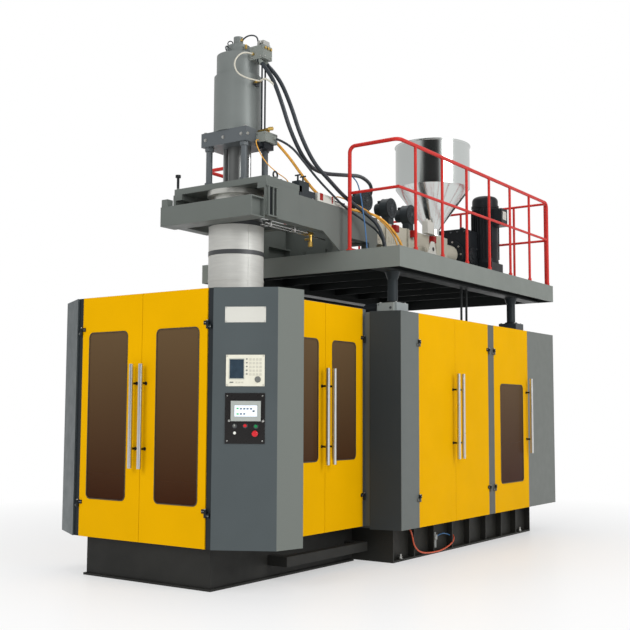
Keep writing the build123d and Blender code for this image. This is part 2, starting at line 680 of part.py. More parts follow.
# Front enclosure frame: tubes behind the doors, with the fixed hinge halves on its posts
enclosure_bottom_rail = (ENCLOSURE_BOTTOM, ENCLOSURE_BOTTOM + FRAME_TUBE)
enclosure_top_rail = (ENCLOSURE_TOP - FRAME_TUBE, ENCLOSURE_TOP)
front_stop = FRONT + DOOR_DEPTH + STOP_GAP
side_rail_x = (STOP_X - FRAME_TUBE, STOP_X)
with BuildPart() as enclosure_frame:
    for x in both(FRONT_DOORS_HALF, POST_OUTER):
        block(x, (FRONT + FRONT_POST_RECESS, front_stop + FRAME_TUBE), (ENCLOSURE_BOTTOM, ENCLOSURE_TOP))
    for z in (enclosure_bottom_rail, enclosure_top_rail):
        block((-POST_OUTER, POST_OUTER), (front_stop, front_stop + FRAME_TUBE), z)
        block((-STOP_X, STOP_X), (SIDE_DOORS_BACK, ENCLOSURE_BACK), z)
        for x in both(*side_rail_x):
            block(x, (front_stop, ENCLOSURE_BACK), z)
    for y in ((SIDE_DOORS_FRONT - SIDE_POST_DEPTH, SIDE_DOORS_FRONT), (SIDE_DOORS_BACK, ENCLOSURE_BACK)):
        for x in both(side_rail_x[0], SIDE_DOOR_X):
            block(x, y, (ENCLOSURE_BOTTOM, ENCLOSURE_TOP))
    block((-STOP_X, STOP_X), (base_front, base_front + FRAME_TUBE), enclosure_bottom_rail)
    fixed_hinges(front_left, front_width, ENCLOSURE_HEIGHT, True, FRONT_POST_RECESS)
    fixed_hinges(front_right, front_width, ENCLOSURE_HEIGHT, False, FRONT_POST_RECESS)
    fixed_hinges(side_front, side_width, ENCLOSURE_HEIGHT, True, 0)
    fixed_hinges(side_rear, side_width, ENCLOSURE_HEIGHT, False, 0)
write(enclosure_frame, "enclosure_frame")

# Cabinet frame: posts, the rails between them, and two bearers that lie on the rear base
ring_outer = CABINET_HALF_WIDTH - DOOR_DEPTH - STOP_GAP
ring_inner = ring_outer - FRAME_TUBE
cabinet_y = (CABINET_FRONT + STOP_GAP + SHEET, CABINET_BACK - SHEET)
cabinet_bottom_rail = (CABINET_BOTTOM, CABINET_BOTTOM + FRAME_TUBE)
cabinet_top_rail = (CABINET_TOP - SHEET - FRAME_TUBE, CABINET_TOP - SHEET)
post_z = (CABINET_BOTTOM, cabinet_top_rail[1])
middle_post = (CABINET_POST_START, DOOR_C_START)
posts_y = [
    (cabinet_y[0], cabinet_y[0] + FRAME_TUBE),
    (DOOR_A_START - FRAME_TUBE, DOOR_A_START),
    middle_post,
    (DOOR_C_END, DOOR_C_END + FRAME_TUBE),
    (cabinet_y[1] - FRAME_TUBE, cabinet_y[1]),
]
with BuildPart() as cabinet_posts:
    for y in posts_y:
        for x in both(ring_inner, CABINET_HALF_WIDTH - SHEET):
            block(x, y, post_z)
    block((ring_inner, CABINET_HALF_WIDTH), middle_post, post_z)
with BuildPart() as side_rails:
    for (_, start), (end, _) in zip(posts_y, posts_y[1:]):
        for z in (cabinet_bottom_rail, cabinet_top_rail):
            for x in both(ring_inner, ring_outer):
                block(x, (start, end), z)
with BuildPart() as cross_rails:
    for y in (posts_y[0], posts_y[-1]):
        for z in (cabinet_bottom_rail, cabinet_top_rail):
            block((-ring_inner, ring_inner), y, z)
    for y in ((rear_y[0], rear_y[0] + FRAME_TUBE), (rear_y[1] - FRAME_TUBE, rear_y[1])):
        block((-ring_inner, ring_inner), y, cabinet_bottom_rail)
with BuildPart() as cabinet_hinges:
    fixed_hinges(door_a, a_width, CABINET_HEIGHT, True, 0)
    fixed_hinges(door_b, b_width, CABINET_HEIGHT, False, 0)
    fixed_hinges(door_c, c_width, CABINET_HEIGHT, True, 0)
write_welded((cabinet_posts, side_rails, cross_rails, cabinet_hinges), "cabinet_frame")

# Corner columns: folded sheets between the front posts and the side posts
column_z = (ENCLOSURE_BOTTOM, ENCLOSURE_TOP)
column_start = POST_OUTER + DOOR_GAP
column_flange = front_stop - STOP_GAP
column_back = SIDE_DOORS_FRONT - SIDE_POST_DEPTH
rail_clear = STOP_X + STOP_GAP


def column_points(side, face):
    """Plan points of a corner column, from its front flange round to the flange on the side post."""
    corner = (column_start + face[0], FRONT - COLUMN_PROUD + face[1])
    points = [
        (column_start, column_flange),
        (column_start, FRONT - COLUMN_PROUD),
        corner,
        (corner[0] + COLUMN_SIDE[0], corner[1] + COLUMN_SIDE[1]),
        (SIDE_DOOR_X, column_back),
        (rail_clear, column_back),
    ]
    return [(side * x, y) for x, y in points]


def column_shell(side, face):
    """Add the folded sheet of a corner column and its top plate."""
    points = column_points(side, face)
    folded_sheet(points, column_z, side < 0)
    flat_plate(points + [(side * rail_clear, column_flange)], (ENCLOSURE_TOP - SHEET, ENCLOSURE_TOP))


with BuildPart() as left_column:
    column_shell(-1, LEFT_COLUMN_FACE)
write(left_column, "left_column")

face_length = hypot(*COLUMN_FACE)
face_dir = (COLUMN_FACE[0] / face_length, COLUMN_FACE[1] / face_length, 0)
face_normal = (face_dir[1], -face_dir[0], 0)
control_face = Plane((column_start, FRONT - COLUMN_PROUD, 0), x_dir=face_dir, z_dir=face_normal)


def face_box(centre, size, depth, mode=Mode.ADD):
    """Add a box on the control face; depth is a (low, high) pair along the outward normal."""
    middle = (centre[0], centre[1], (depth[0] + depth[1]) / 2)
    with Locations(control_face.location * Location(middle)):
        Box(size[0], size[1], depth[1] - depth[0], mode=mode)


def face_disc(centre, radius, depth, mode=Mode.ADD):
    """Add a disc on the control face."""
    middle = (centre[0], centre[1], (depth[0] + depth[1]) / 2)
    with Locations(control_face.location * Location(middle)):
        Cylinder(radius, depth[1] - depth[0], mode=mode)


def inset(size, edge):
    """A width and height, each made smaller by the edge on both sides."""
    return (size[0] - 2 * edge, size[1] - 2 * edge)


controller_body = inset(CONTROLLER_SIZE, CUTOUT_LAP)
panel_body = inset(PANEL_SIZE, CUTOUT_LAP)
with BuildPart() as control_column:
    column_shell(1, COLUMN_FACE)
    for centre, body in ((CONTROLLER_AT, controller_body), (PANEL_AT, panel_body)):
        face_box(centre, inset(body, -CUTOUT_GAP), (-2 * SHEET, SHEET), Mode.SUBTRACT)
write(control_column, "control_column")

with BuildPart() as parison_controller:
    face_box(CONTROLLER_AT, CONTROLLER_SIZE, (0, PANEL_THICKNESS))
    face_box(CONTROLLER_AT, controller_body, (-CONTROLLER_DEPTH, 0))
    face_box(CONTROLLER_SCREEN_AT, CONTROLLER_SCREEN, (PANEL_THICKNESS - PANEL_PROUD, PANEL_THICKNESS),
             Mode.SUBTRACT)
    face_disc(KEYPAD_AT, KEYPAD_RADIUS, (0, PANEL_THICKNESS + PANEL_PROUD))
write(parison_controller, "parison_controller")

with BuildPart() as control_panel:
    face_box(PANEL_AT, PANEL_SIZE, (0, PANEL_THICKNESS))
    face_box(SCREEN_AT, SCREEN_SIZE, (PANEL_THICKNESS, PANEL_THICKNESS + SCREEN_PROUD))
    face_box(SCREEN_AT, inset(SCREEN_SIZE, CUTOUT_LAP), (-SCREEN_DEPTH, PANEL_THICKNESS))
    face_box(DISPLAY_AT, DISPLAY_SIZE,
             (PANEL_THICKNESS + SCREEN_PROUD - PANEL_PROUD, PANEL_THICKNESS + SCREEN_PROUD), Mode.SUBTRACT)
    for centre in (SELECTOR_AT, RED_BUTTON_AT, GREEN_BUTTON_AT, STOP_AT):
        face_disc(centre, BUTTON_RADIUS + SLIDE_CLEARANCE, (0, PANEL_THICKNESS), Mode.SUBTRACT)
write(control_panel, "control_panel")

retainer = (-BUTTON_FLANGE - SLIDE_CLEARANCE, -SLIDE_CLEARANCE)
for name, centre in (("red_button", RED_BUTTON_AT), ("green_button", GREEN_BUTTON_AT)):
    with BuildPart() as button:
        face_disc(centre, BUTTON_RADIUS, (retainer[0], PANEL_THICKNESS + BUTTON_PROUD))
        face_disc(centre, BUTTON_RADIUS + BUTTON_FLANGE, retainer)
    write(button, name)

with BuildPart() as emergency_stop:
    face_disc(STOP_AT, BUTTON_RADIUS, (retainer[0], PANEL_THICKNESS + 2 * STOP_TRAVEL))
    face_disc(STOP_AT, BUTTON_RADIUS + BUTTON_FLANGE, retainer)
    with Locations(control_face.location * Location((*STOP_AT, PANEL_THICKNESS + 2 * STOP_TRAVEL))):
        Cone(STOP_HEAD_RADIUS * STOP_TAPER, STOP_HEAD_RADIUS, STOP_HEAD,
             align=(Align.CENTER, Align.CENTER, Align.MIN))
    by_depth = emergency_stop.edges().group_by(lambda edge: control_face.to_local_coords(edge.center()).Z)
    fillet(by_depth[-1], STOP_ROUND)
write(emergency_stop, "emergency_stop")

with BuildPart() as selector:
    face_disc(SELECTOR_AT, BUTTON_RADIUS, (retainer[0], PANEL_THICKNESS + BUTTON_PROUD))
    face_disc(SELECTOR_AT, BUTTON_RADIUS + BUTTON_FLANGE, retainer)
    face_box(SELECTOR_AT, (SELECTOR_GRIP, 2 * BUTTON_RADIUS),
             (PANEL_THICKNESS + BUTTON_PROUD, PANEL_THICKNESS + 2 * BUTTON_PROUD))
write(selector, "selector")

# Fixed panels: the far side of the enclosure, and the cabinet's corners, far side, back and roof
inner_corner = (SIDE_DOOR_X + CABINET_CORNER[0], CABINET_FRONT - CABINET_CORNER[1])
panel_z = (CABINET_BOTTOM, CABINET_TOP - SHEET)
panel_back = CABINET_BACK - SHEET
with BuildPart() as fixed_panels:
    for y in ((SIDE_DOORS_FRONT + half_gap, SIDE_SEAM - half_gap),
              (SIDE_SEAM + half_gap, SIDE_DOORS_BACK - half_gap)):
        block((-SIDE_DOOR_X, -STOP_X), y, column_z)
        block((-SIDE_DOOR_X + SKIN, -STOP_X), (y[0] + SKIN, y[1] - SKIN),
              (column_z[0] + SKIN, column_z[1] - SKIN), Mode.SUBTRACT)
    for side in (-1, 1):
        end = DOOR_A_START if side > 0 else CABINET_POST_START
        points = [
            (side * inner_corner[0], inner_corner[1] + FRAME_TUBE),
            (side * inner_corner[0], inner_corner[1]),
            (side * CABINET_HALF_WIDTH, CABINET_FRONT),
            (side * CABINET_HALF_WIDTH, end),
        ]
        folded_sheet(points, panel_z, side < 0)
        start = DOOR_C_END + half_gap if side > 0 else CABINET_POST_START + half_gap
        points = [
            (side * CABINET_HALF_WIDTH, start),
            (side * CABINET_HALF_WIDTH, CABINET_BACK),
            (side * (CABINET_HALF_WIDTH - SHEET - FRAME_TUBE), CABINET_BACK),
        ]
        folded_sheet(points, panel_z, side < 0)
    back_half = CABINET_HALF_WIDTH - SHEET - FRAME_TUBE - half_gap
    block((-back_half, back_half), (panel_back, CABINET_BACK), panel_z)
with BuildPart() as roof:
    flat_plate([(-inner_corner[0], inner_corner[1]), (-CABINET_HALF_WIDTH, CABINET_FRONT),
                (-CABINET_HALF_WIDTH, CABINET_BACK), (CABINET_HALF_WIDTH, CABINET_BACK),
                (CABINET_HALF_WIDTH, DOOR_C_END), (ring_outer, DOOR_C_END), (ring_outer, DOOR_A_START),
                (CABINET_HALF_WIDTH, DOOR_A_START), (CABINET_HALF_WIDTH, CABINET_FRONT),
                (inner_corner[0], inner_corner[1]), (inner_corner[0], CABINET_FRONT),
                (-inner_corner[0], CABINET_FRONT)], (panel_z[1], CABINET_TOP))
    for x, y in COLUMN_PLACES:
        upright(x, y, (panel_z[1], CABINET_TOP), SLEEVE_RADIUS + SLIDE_CLEARANCE, Mode.SUBTRACT)
    for x, y in PIPE_PLACES:
        upright(x, y, (panel_z[1], CABINET_TOP), 2 * PIPE_RADIUS, Mode.SUBTRACT)
write_welded((fixed_panels, roof), "fixed_panels")

# Lift: four guide sleeves that stand on the rear base, with a head block on the roof
block_half = SLEEVE_BLOCK[0] / 2
with BuildPart() as lift_sleeves:
    for x, y in COLUMN_PLACES:
        upright(x, y, (CABINET_BOTTOM, CABINET_TOP), SLEEVE_RADIUS)
        block((x - block_half, x + block_half), (y - block_half, y + block_half),
              (CABINET_TOP, CABINET_TOP + SLEEVE_BLOCK[1]))
        upright(x, y, (PLATFORM_BOTTOM - COLUMN_DEPTH - 2 * SLEEVE_BLOCK[1], CABINET_TOP + SLEEVE_BLOCK[1]),
                COLUMN_RADIUS + SLIDE_CLEARANCE, Mode.SUBTRACT)
write(lift_sleeves, "lift_sleeves")

# Mould clamp: two platens on the base rails, each pushed by a cylinder on a bracket
carriage_inner = CLAMP_RAIL_WIDTH / 2 + SLIDE_CLEARANCE
platen_top = PLATEN_BOTTOM + PLATEN_HEIGHT
for name, side in (("front_platen", -1), ("rear_platen", 1)):
    face = PLATEN_OPEN
    back = face + PLATEN_THICKNESS
    with BuildPart() as platen:
        block((-PLATEN_HALF, PLATEN_HALF), sorted((side * face, side * back)), (PLATEN_BOTTOM, platen_top))
        for rail in (-CLAMP_RAIL_X, CLAMP_RAIL_X):
            carriage = sorted((side * face, side * (face + CARRIAGE_LENGTH)))
            block((rail - CARRIAGE_HALF_WIDTH, rail + CARRIAGE_HALF_WIDTH), carriage,
                  (ENCLOSURE_BOTTOM + SLIDE_CLEARANCE, rail_top + CARRIAGE_HALF_WIDTH))
            block((rail - carriage_inner, rail + carriage_inner), carriage,
                  (ENCLOSURE_BOTTOM, rail_top + SLIDE_CLEARANCE), Mode.SUBTRACT)
            block((rail - CARRIAGE_HALF_WIDTH, rail + CARRIAGE_HALF_WIDTH),
                  sorted((side * face, side * back)), (rail_top + CARRIAGE_HALF_WIDTH, PLATEN_BOTTOM))
            gusset = Plane((rail - PLATEN_THICKNESS / 4, 0, 0), x_dir=(0, side, 0), z_dir=(side, 0, 0))
            with BuildSketch(gusset) as rib:
                with BuildLine():
                    Polyline((back, rail_top + CARRIAGE_HALF_WIDTH),
                             (face + CARRIAGE_LENGTH, rail_top + CARRIAGE_HALF_WIDTH),
                             (back, platen_top - CARRIAGE_LENGTH), close=True)
                make_face()
            extrude(rib.sketch, amount=side * PLATEN_THICKNESS / 2)
        for x in (-MOULD_BOLT_X, 0, MOULD_BOLT_X):
            for z in (CLAMP_AXIS - MOULD_BOLT_Z, CLAMP_AXIS + MOULD_BOLT_Z):
                along_y(x, sorted((side * face, side * back)), z, MOULD_BOLT_RADIUS, Mode.SUBTRACT)
        nose = CLAMP_BRACKET_Y + CLAMP_CYLINDER_LENGTH
        along_y(0, sorted((side * back, side * (nose - CLAMP_HEAD))), CLAMP_AXIS, CLAMP_ROD_RADIUS)
        along_y(0, sorted((side * (nose - 2 * CLAMP_HEAD), side * (nose - CLAMP_HEAD))), CLAMP_AXIS,
                CLAMP_BORE - SLIDE_CLEARANCE)
    write(platen, name)

with BuildPart() as clamp_cylinders:
    for side in (-1, 1):
        bracket = sorted((side * CLAMP_BRACKET_Y, side * (CLAMP_BRACKET_Y - CLAMP_BRACKET_THICKNESS)))
        bore_end = CLAMP_BRACKET_Y + CLAMP_CYLINDER_LENGTH
        barrel = sorted((side * CLAMP_BRACKET_Y, side * (bore_end + CLAMP_HEAD)))
        bore = sorted((side * CLAMP_BRACKET_Y, side * bore_end))
        block((-CLAMP_BRACKET_HALF, CLAMP_BRACKET_HALF), bracket,
              (ENCLOSURE_BOTTOM, CLAMP_AXIS + 2 * CLAMP_CYLINDER_RADIUS))
        for x in (-CLAMP_RAIL_X, CLAMP_RAIL_X):
            block((x - carriage_inner, x + carriage_inner), bracket,
                  (ENCLOSURE_BOTTOM, rail_top + SLIDE_CLEARANCE), Mode.SUBTRACT)
        along_y(0, barrel, CLAMP_AXIS, CLAMP_CYLINDER_RADIUS)
        along_y(0, bore, CLAMP_AXIS, CLAMP_BORE, Mode.SUBTRACT)
        along_y(0, bracket, CLAMP_AXIS, CLAMP_ROD_RADIUS + SLIDE_CLEARANCE, Mode.SUBTRACT)
write(clamp_cylinders, "clamp_cylinders")

with BuildPart() as blow_pin:
    upright(0, 0, (BLOW_PIN_BOTTOM, BLOW_PIN_TOP), BLOW_PIN_RADIUS)
    chamfer(blow_pin.edges().group_by(Axis.Z)[-1], length=2 * BLOW_PIN_RADIUS, length2=BLOW_PIN_RADIUS / 2)
write(blow_pin, "blow_pin")

# Hydraulic unit in the cabinet: an oil tank on the rear base with two motor pumps on its lid
tank_y = (rear_y[0] + 2 * gusset_pitch - FLANGE_WIDTH / 2,
          rear_y[0] + (GUSSET_COUNT - 1) * gusset_pitch + FLANGE_WIDTH / 2)
tank_top = CABINET_BOTTOM + TANK_HEIGHT
motor_y = (tank_y[0] + FLANGE_WIDTH, tank_y[0] + FLANGE_WIDTH + PUMP_MOTOR_LENGTH)
motor_axis = tank_top + PUMP_MOTOR_RADIUS + FLANGE_THICKNESS
with BuildPart() as hydraulic_unit:
    block((-TANK_HALF, TANK_HALF), tank_y, (CABINET_BOTTOM, tank_top))
    block((-TANK_HALF + TANK_WALL, TANK_HALF - TANK_WALL), (tank_y[0] + TANK_WALL, tank_y[1] - TANK_WALL),
          (CABINET_BOTTOM + TANK_WALL, tank_top - FLANGE_THICKNESS), Mode.SUBTRACT)
    block((-TANK_HALF - FLANGE_LIP, TANK_HALF + FLANGE_LIP), (tank_y[0] - FLANGE_LIP, tank_y[1] + FLANGE_LIP),
          (tank_top - FLANGE_THICKNESS, tank_top))
    for x in (-TANK_HALF / 2, TANK_HALF / 2):
        along_y(x, motor_y, motor_axis, PUMP_MOTOR_RADIUS)
        along_y(x, (motor_y[1], motor_y[1] + PUMP_LENGTH), motor_axis, PUMP_MOTOR_RADIUS / 2)
        block((x - PUMP_MOTOR_RADIUS, x + PUMP_MOTOR_RADIUS),
              (motor_y[0] + PUMP_FOOT_INSET, motor_y[1] - PUMP_FOOT_INSET), (tank_top, motor_axis))
    upright(0, tank_y[1] - FLANGE_WIDTH, (tank_top - FLANGE_THICKNESS, tank_top), FILLER_RADIUS,
            Mode.SUBTRACT)
write(hydraulic_unit, "hydraulic_unit")

# Platform: a welded deck with a deep edge plate, ribs and the two drain pipes that pass the roof
with BuildPart() as platform:
    deck_y = (PLATFORM_FRONT, PLATFORM_BACK)
    block((-PLATFORM_HALF, PLATFORM_HALF), deck_y, (PLATFORM_BOTTOM, DECK))
    inner = PLATFORM_HALF - PLATFORM_PLATE
    inner_y = (deck_y[0] + PLATFORM_PLATE, deck_y[1] - PLATFORM_PLATE)
    block((-inner, inner), inner_y, (PLATFORM_BOTTOM, DECK - DECK_THICKNESS), Mode.SUBTRACT)
    rib_z = (PLATFORM_BOTTOM + RIB_RISE, DECK - DECK_THICKNESS)
    rib_pitch = (inner_y[1] - inner_y[0]) / (RIB_COUNT + 1)
    for n in range(1, RIB_COUNT + 1):
        y = inner_y[0] + n * rib_pitch
        block((-inner, inner), (y, y + PLATFORM_PLATE), rib_z)
    for x in both(COLUMN_X - COLUMN_CAP, COLUMN_X + COLUMN_CAP):
        block(x, inner_y, (PLATFORM_BOTTOM, PLATFORM_BOTTOM + FLANGE_THICKNESS))
        block(((x[0] + x[1] - PLATFORM_PLATE) / 2, (x[0] + x[1] + PLATFORM_PLATE) / 2), inner_y,
              (PLATFORM_BOTTOM, DECK - DECK_THICKNESS))
with BuildPart() as drain_pipes:
    for x, y in PIPE_PLACES:
        upright(x, y, (CABINET_TOP - PIPE_DROP, PLATFORM_BOTTOM), PIPE_RADIUS)
write_welded((platform, drain_pipes), "platform")

with BuildPart() as lift_columns:
    for x, y in COLUMN_PLACES:
        upright(x, y, (PLATFORM_BOTTOM - COLUMN_DEPTH, PLATFORM_BOTTOM), COLUMN_RADIUS)
        with Locations((x, y, PLATFORM_BOTTOM - COLUMN_CAP / 2)):
            Cone(COLUMN_RADIUS, COLUMN_CAP, COLUMN_CAP)
write(lift_columns, "lift_columns")

# Guard rails: bent tube on the sides and front stubs, a straight rail across the back
rail_x = PLATFORM_HALF - RAIL_INSET
rail_front = PLATFORM_FRONT + RAIL_INSET
rail_back = PLATFORM_BACK - RAIL_BACK_INSET
rail_top_z = DECK + RAIL_HEIGHT
mid_rail_z = DECK + MID_RAIL_HEIGHT
with BuildPart() as guard_rail:
    for side in (-1, 1):
        stub = side * (rail_x - RAIL_STUB)
        outer = side * rail_x
        with BuildLine() as handrail:
            FilletPolyline((stub, rail_front, DECK), (stub, rail_front, rail_top_z),
                           (outer, rail_front, rail_top_z), (outer, rail_back, rail_top_z),
                           (outer, rail_back, DECK), radius=RAIL_BEND)
        with BuildSketch(Plane((stub, rail_front, DECK))) as tube:
            Circle(RAIL_RADIUS)
        sweep(tube.sketch, path=handrail.line)
        along_x(sorted((stub, outer)), rail_front, mid_rail_z, MID_RAIL_RADIUS)
        along_y(outer, (rail_front - MID_RAIL_RADIUS, rail_back), mid_rail_z, MID_RAIL_RADIUS)
        post_pitch = (rail_back - rail_front - RAIL_FIRST_POST) / RAIL_POST_COUNT
        for n in range(RAIL_POST_COUNT):
            upright(outer, rail_front + RAIL_FIRST_POST + n * post_pitch, (DECK, rail_top_z), MID_RAIL_RADIUS)
    back_half = rail_x - BACK_RAIL_INSET
    back_y = rail_back + BACK_RAIL_INSET
    for z in (rail_top_z, mid_rail_z):
        along_x((-back_half, back_half), back_y, z, MID_RAIL_RADIUS)
    for x in (-back_half, -BACK_POST_X, 0, BACK_POST_X, back_half):
        upright(x, back_y, (DECK, rail_top_z), MID_RAIL_RADIUS)
write(guard_rail, "guard_rail")

# Arm: two channel beams on the deck, with a cross beam in front and packing under the head plate
arm_y = (-ARM_FRONT, ARM_BACK)
beam = (ARM_HALF - ARM_FLANGE, ARM_HALF)
cross_y = (-ARM_FRONT - CROSS_BEAM_DEPTH, -ARM_FRONT)
cross_z = (CROSS_BEAM_BOTTOM, CROSS_BEAM_TOP)
cross_hollow = ((cross_y[0] + CROSS_BEAM_WALL, cross_y[1] - CROSS_BEAM_WALL),
                (cross_z[0] + CROSS_BEAM_WALL, cross_z[1] - CROSS_BEAM_WALL))
doubler_y = (-ARM_FRONT, DOUBLER_LENGTH - ARM_FRONT)
seat_y = PLATFORM_FRONT + SEAT_INSET
with BuildPart() as arm_frame:
    for x in both(ARM_HALF - ARM_PLATE, ARM_HALF):
        block(x, arm_y, (ARM_BOTTOM, ARM_TOP))
    for x in both(*beam):
        for z in ((ARM_BOTTOM, ARM_BOTTOM + ARM_PLATE), (ARM_TOP - ARM_PLATE, ARM_TOP)):
            block(x, arm_y, z)
        for y in (seat_y, ARM_BACK - SEAT_INSET - SEAT_LENGTH):
            block(x, (y, y + SEAT_LENGTH), (DECK, ARM_BOTTOM))
        block(x, (-HEAD_PLATE_FRONT, doubler_y[1]), (ARM_TOP, HEAD_PLATE_BOTTOM))
    for x in both(ARM_HALF, ARM_HALF + DOUBLER):
        block(x, doubler_y, (ARM_BOTTOM, HEAD_PLATE_BOTTOM))
    for y in TIE_Y:
        block((-ARM_HALF, ARM_HALF), (y, y + ARM_FLANGE), (ARM_BOTTOM, ARM_BOTTOM + TIE_HEIGHT))
    for x in (-ARM_HALF, ARM_HALF - ARM_PLATE):
        with BuildSketch(Plane((x, 0, 0), x_dir=(0, 1, 0), z_dir=(1, 0, 0))) as brace:
            with BuildLine():
                Polyline((seat_y, DECK), (seat_y, ARM_BOTTOM), (seat_y - BRACE_REACH, ARM_BOTTOM), close=True)
            make_face()
        extrude(brace.sketch, amount=ARM_PLATE)
    block((-CROSS_BEAM_HALF, CROSS_BEAM_HALF), cross_y, cross_z)
    block((-CROSS_BEAM_HALF, CROSS_BEAM_HALF), *cross_hollow, Mode.SUBTRACT)
    for x in both(CROSS_BEAM_HALF - CROSS_BEAM_INSET - CROSS_BEAM_WALL, CROSS_BEAM_HALF - CROSS_BEAM_INSET):
        block(x, *cross_hollow)
    block((-CROSS_BEAM_HALF, ARM_STOP[0] - CROSS_BEAM_HALF),
          (cross_y[0] + CROSS_BEAM_WALL, cross_y[0] + CROSS_BEAM_WALL + ARM_STOP[0]),
          (CROSS_BEAM_TOP, CROSS_BEAM_TOP + ARM_STOP[1]))
write(arm_frame, "arm_frame")

# Head plate with its bolts, the jack bolt and the lifting eye
head_plate_y = (-HEAD_PLATE_FRONT, HEAD_PLATE_BACK)
bolt_x = ARM_HALF - ARM_FLANGE / 2
with BuildPart() as head_plate:
    block((-ARM_HALF, ARM_HALF), head_plate_y, (HEAD_PLATE_BOTTOM, HEAD_PLATE_TOP))
    upright(0, 0, (HEAD_PLATE_BOTTOM, HEAD_PLATE_TOP), BODY_NECK_RADIUS + SLIDE_CLEARANCE, Mode.SUBTRACT)
    with BuildSketch(Plane.XY.offset(HEAD_PLATE_TOP)) as bolt_heads:
        with Locations((0, (head_plate_y[0] + head_plate_y[1]) / 2)):
            with GridLocations(2 * bolt_x, (head_plate_y[1] - head_plate_y[0]) / HEAD_BOLT_COUNT,
                               2, HEAD_BOLT_COUNT):
                RegularPolygon(HEAD_BOLT_RADIUS, HEX_SIDES)
    extrude(bolt_heads.sketch, amount=HEAD_BOLT_HEIGHT)
    upright(*JACK_BOLT_AT, (HEAD_PLATE_TOP, JACK_BOLT_TOP), JACK_BOLT_RADIUS)
    upright(*JACK_BOLT_AT, (JACK_BOLT_TOP - 2 * JACK_BOLT_RADIUS, JACK_BOLT_TOP), 2 * JACK_BOLT_RADIUS)
    upright(*EYE_AT, (HEAD_PLATE_TOP, HEAD_PLATE_TOP + 2 * EYE_BAR), EYE_RADIUS - EYE_BAR)
    with Locations(Location((*EYE_AT, HEAD_PLATE_TOP + EYE_BAR / 2 + EYE_RADIUS), (0, 90, 0))):
        Torus(EYE_RADIUS, EYE_BAR)
write(head_plate, "head_plate")

# Cylinder stand: a thick plate on four posts
rod_hole = RAM_ROD_RADIUS + SLIDE_CLEARANCE
rods = ((-RAM_ROD_X, 0), (RAM_ROD_X, 0))
with BuildPart() as cylinder_stand:
    block((-CYLINDER_PLATE[0] / 2, CYLINDER_PLATE[0] / 2), (-CYLINDER_PLATE[1] / 2, CYLINDER_PLATE[1] / 2),
          (CYLINDER_PLATE_BOTTOM, CYLINDER_PLATE_TOP))
    for x in (-POST_X, POST_X):
        for y in (-POST_Y, POST_Y):
            upright(x, y, (HEAD_PLATE_TOP, CYLINDER_PLATE_BOTTOM), POST_RADIUS)
            for z in (HEAD_PLATE_TOP, CYLINDER_PLATE_BOTTOM - NUT_HEIGHT):
                with BuildSketch(Plane.XY.offset(z)) as nut:
                    with Locations((x, y)):
                        RegularPolygon(NUT_RADIUS, HEX_SIDES)
                extrude(nut.sketch, amount=NUT_HEIGHT)
    for x, y in rods:
        upright(x, y, (CYLINDER_PLATE_BOTTOM, CYLINDER_PLATE_TOP), rod_hole, Mode.SUBTRACT)
write(cylinder_stand, "cylinder_stand")

# Accumulator head: chamber with a fixed mandrel, spider, melt channel and die ring
chamber_top = HEAD_PLATE_BOTTOM - CHAMBER_CAP
neck_top = HEAD_PLATE_TOP + NECK_PROUD
die_bottom = BODY_BOTTOM - DIE_HEIGHT
spider_bottom = CHAMBER_FLOOR - SPIDER_HEIGHT
channel_x = (BODY_RADIUS + BODY_BORE) / 2
inlet_z = CHAMBER_FLOOR + CHAMBER_SPACE / 2
piston_floor = neck_top + 2 * PARISON_HEAD
with BuildPart() as accumulator_head:
    upright(0, 0, (BODY_BOTTOM, HEAD_PLATE_BOTTOM), BODY_RADIUS)
    upright(0, 0, (HEAD_PLATE_BOTTOM - BODY_FLANGE_HEIGHT, HEAD_PLATE_BOTTOM), BODY_FLANGE_RADIUS)
    upright(0, 0, (HEAD_PLATE_BOTTOM, neck_top), BODY_NECK_RADIUS)
    upright(0, 0, (die_bottom, BODY_BOTTOM), DIE_RADIUS)
    upright(0, 0, (CHAMBER_FLOOR, chamber_top), BODY_BORE, Mode.SUBTRACT)
    upright(0, 0, (BODY_BOTTOM, spider_bottom), FLOW_RADIUS, Mode.SUBTRACT)
    with Locations((0, 0, (die_bottom + DIE_LAND + BODY_BOTTOM) / 2)):
        Cone(DIE_OPENING, FLOW_RADIUS, DIE_HEIGHT - DIE_LAND, mode=Mode.SUBTRACT)
    upright(0, 0, (die_bottom, die_bottom + DIE_LAND), DIE_OPENING, Mode.SUBTRACT)
    with PolarLocations((PARISON_CYLINDER_RADIUS + FLOW_RADIUS) / 2, SPIDER_HOLES):
        with Locations((0, 0, CHAMBER_FLOOR - SPIDER_HEIGHT / 2)):
            Cylinder(SPIDER_HOLE_RADIUS, SPIDER_HEIGHT, mode=Mode.SUBTRACT)
    upright(0, 0, (MANDREL_END, CYLINDER_PLATE_BOTTOM), PARISON_CYLINDER_RADIUS)
    upright(0, 0, (MANDREL_END, piston_floor), CORE_ROD_RADIUS + SLIDE_CLEARANCE, Mode.SUBTRACT)
    upright(0, 0, (piston_floor, piston_floor + PARISON_HEAD + 2 * PARISON_STROKE), PARISON_BORE,
            Mode.SUBTRACT)
    for x, y in rods:
        upright(x, y, (chamber_top, neck_top), rod_hole, Mode.SUBTRACT)
    upright(channel_x, 0, (inlet_z, SCREW_AXIS), FEED_CHANNEL_RADIUS, Mode.SUBTRACT)
    along_x((channel_x, BODY_RADIUS), 0, SCREW_AXIS, FEED_CHANNEL_RADIUS, Mode.SUBTRACT)
    along_x((BODY_BORE - FEED_CHANNEL_RADIUS, channel_x), 0, inlet_z, FEED_CHANNEL_RADIUS, Mode.SUBTRACT)
write(accumulator_head, "accumulator_head")

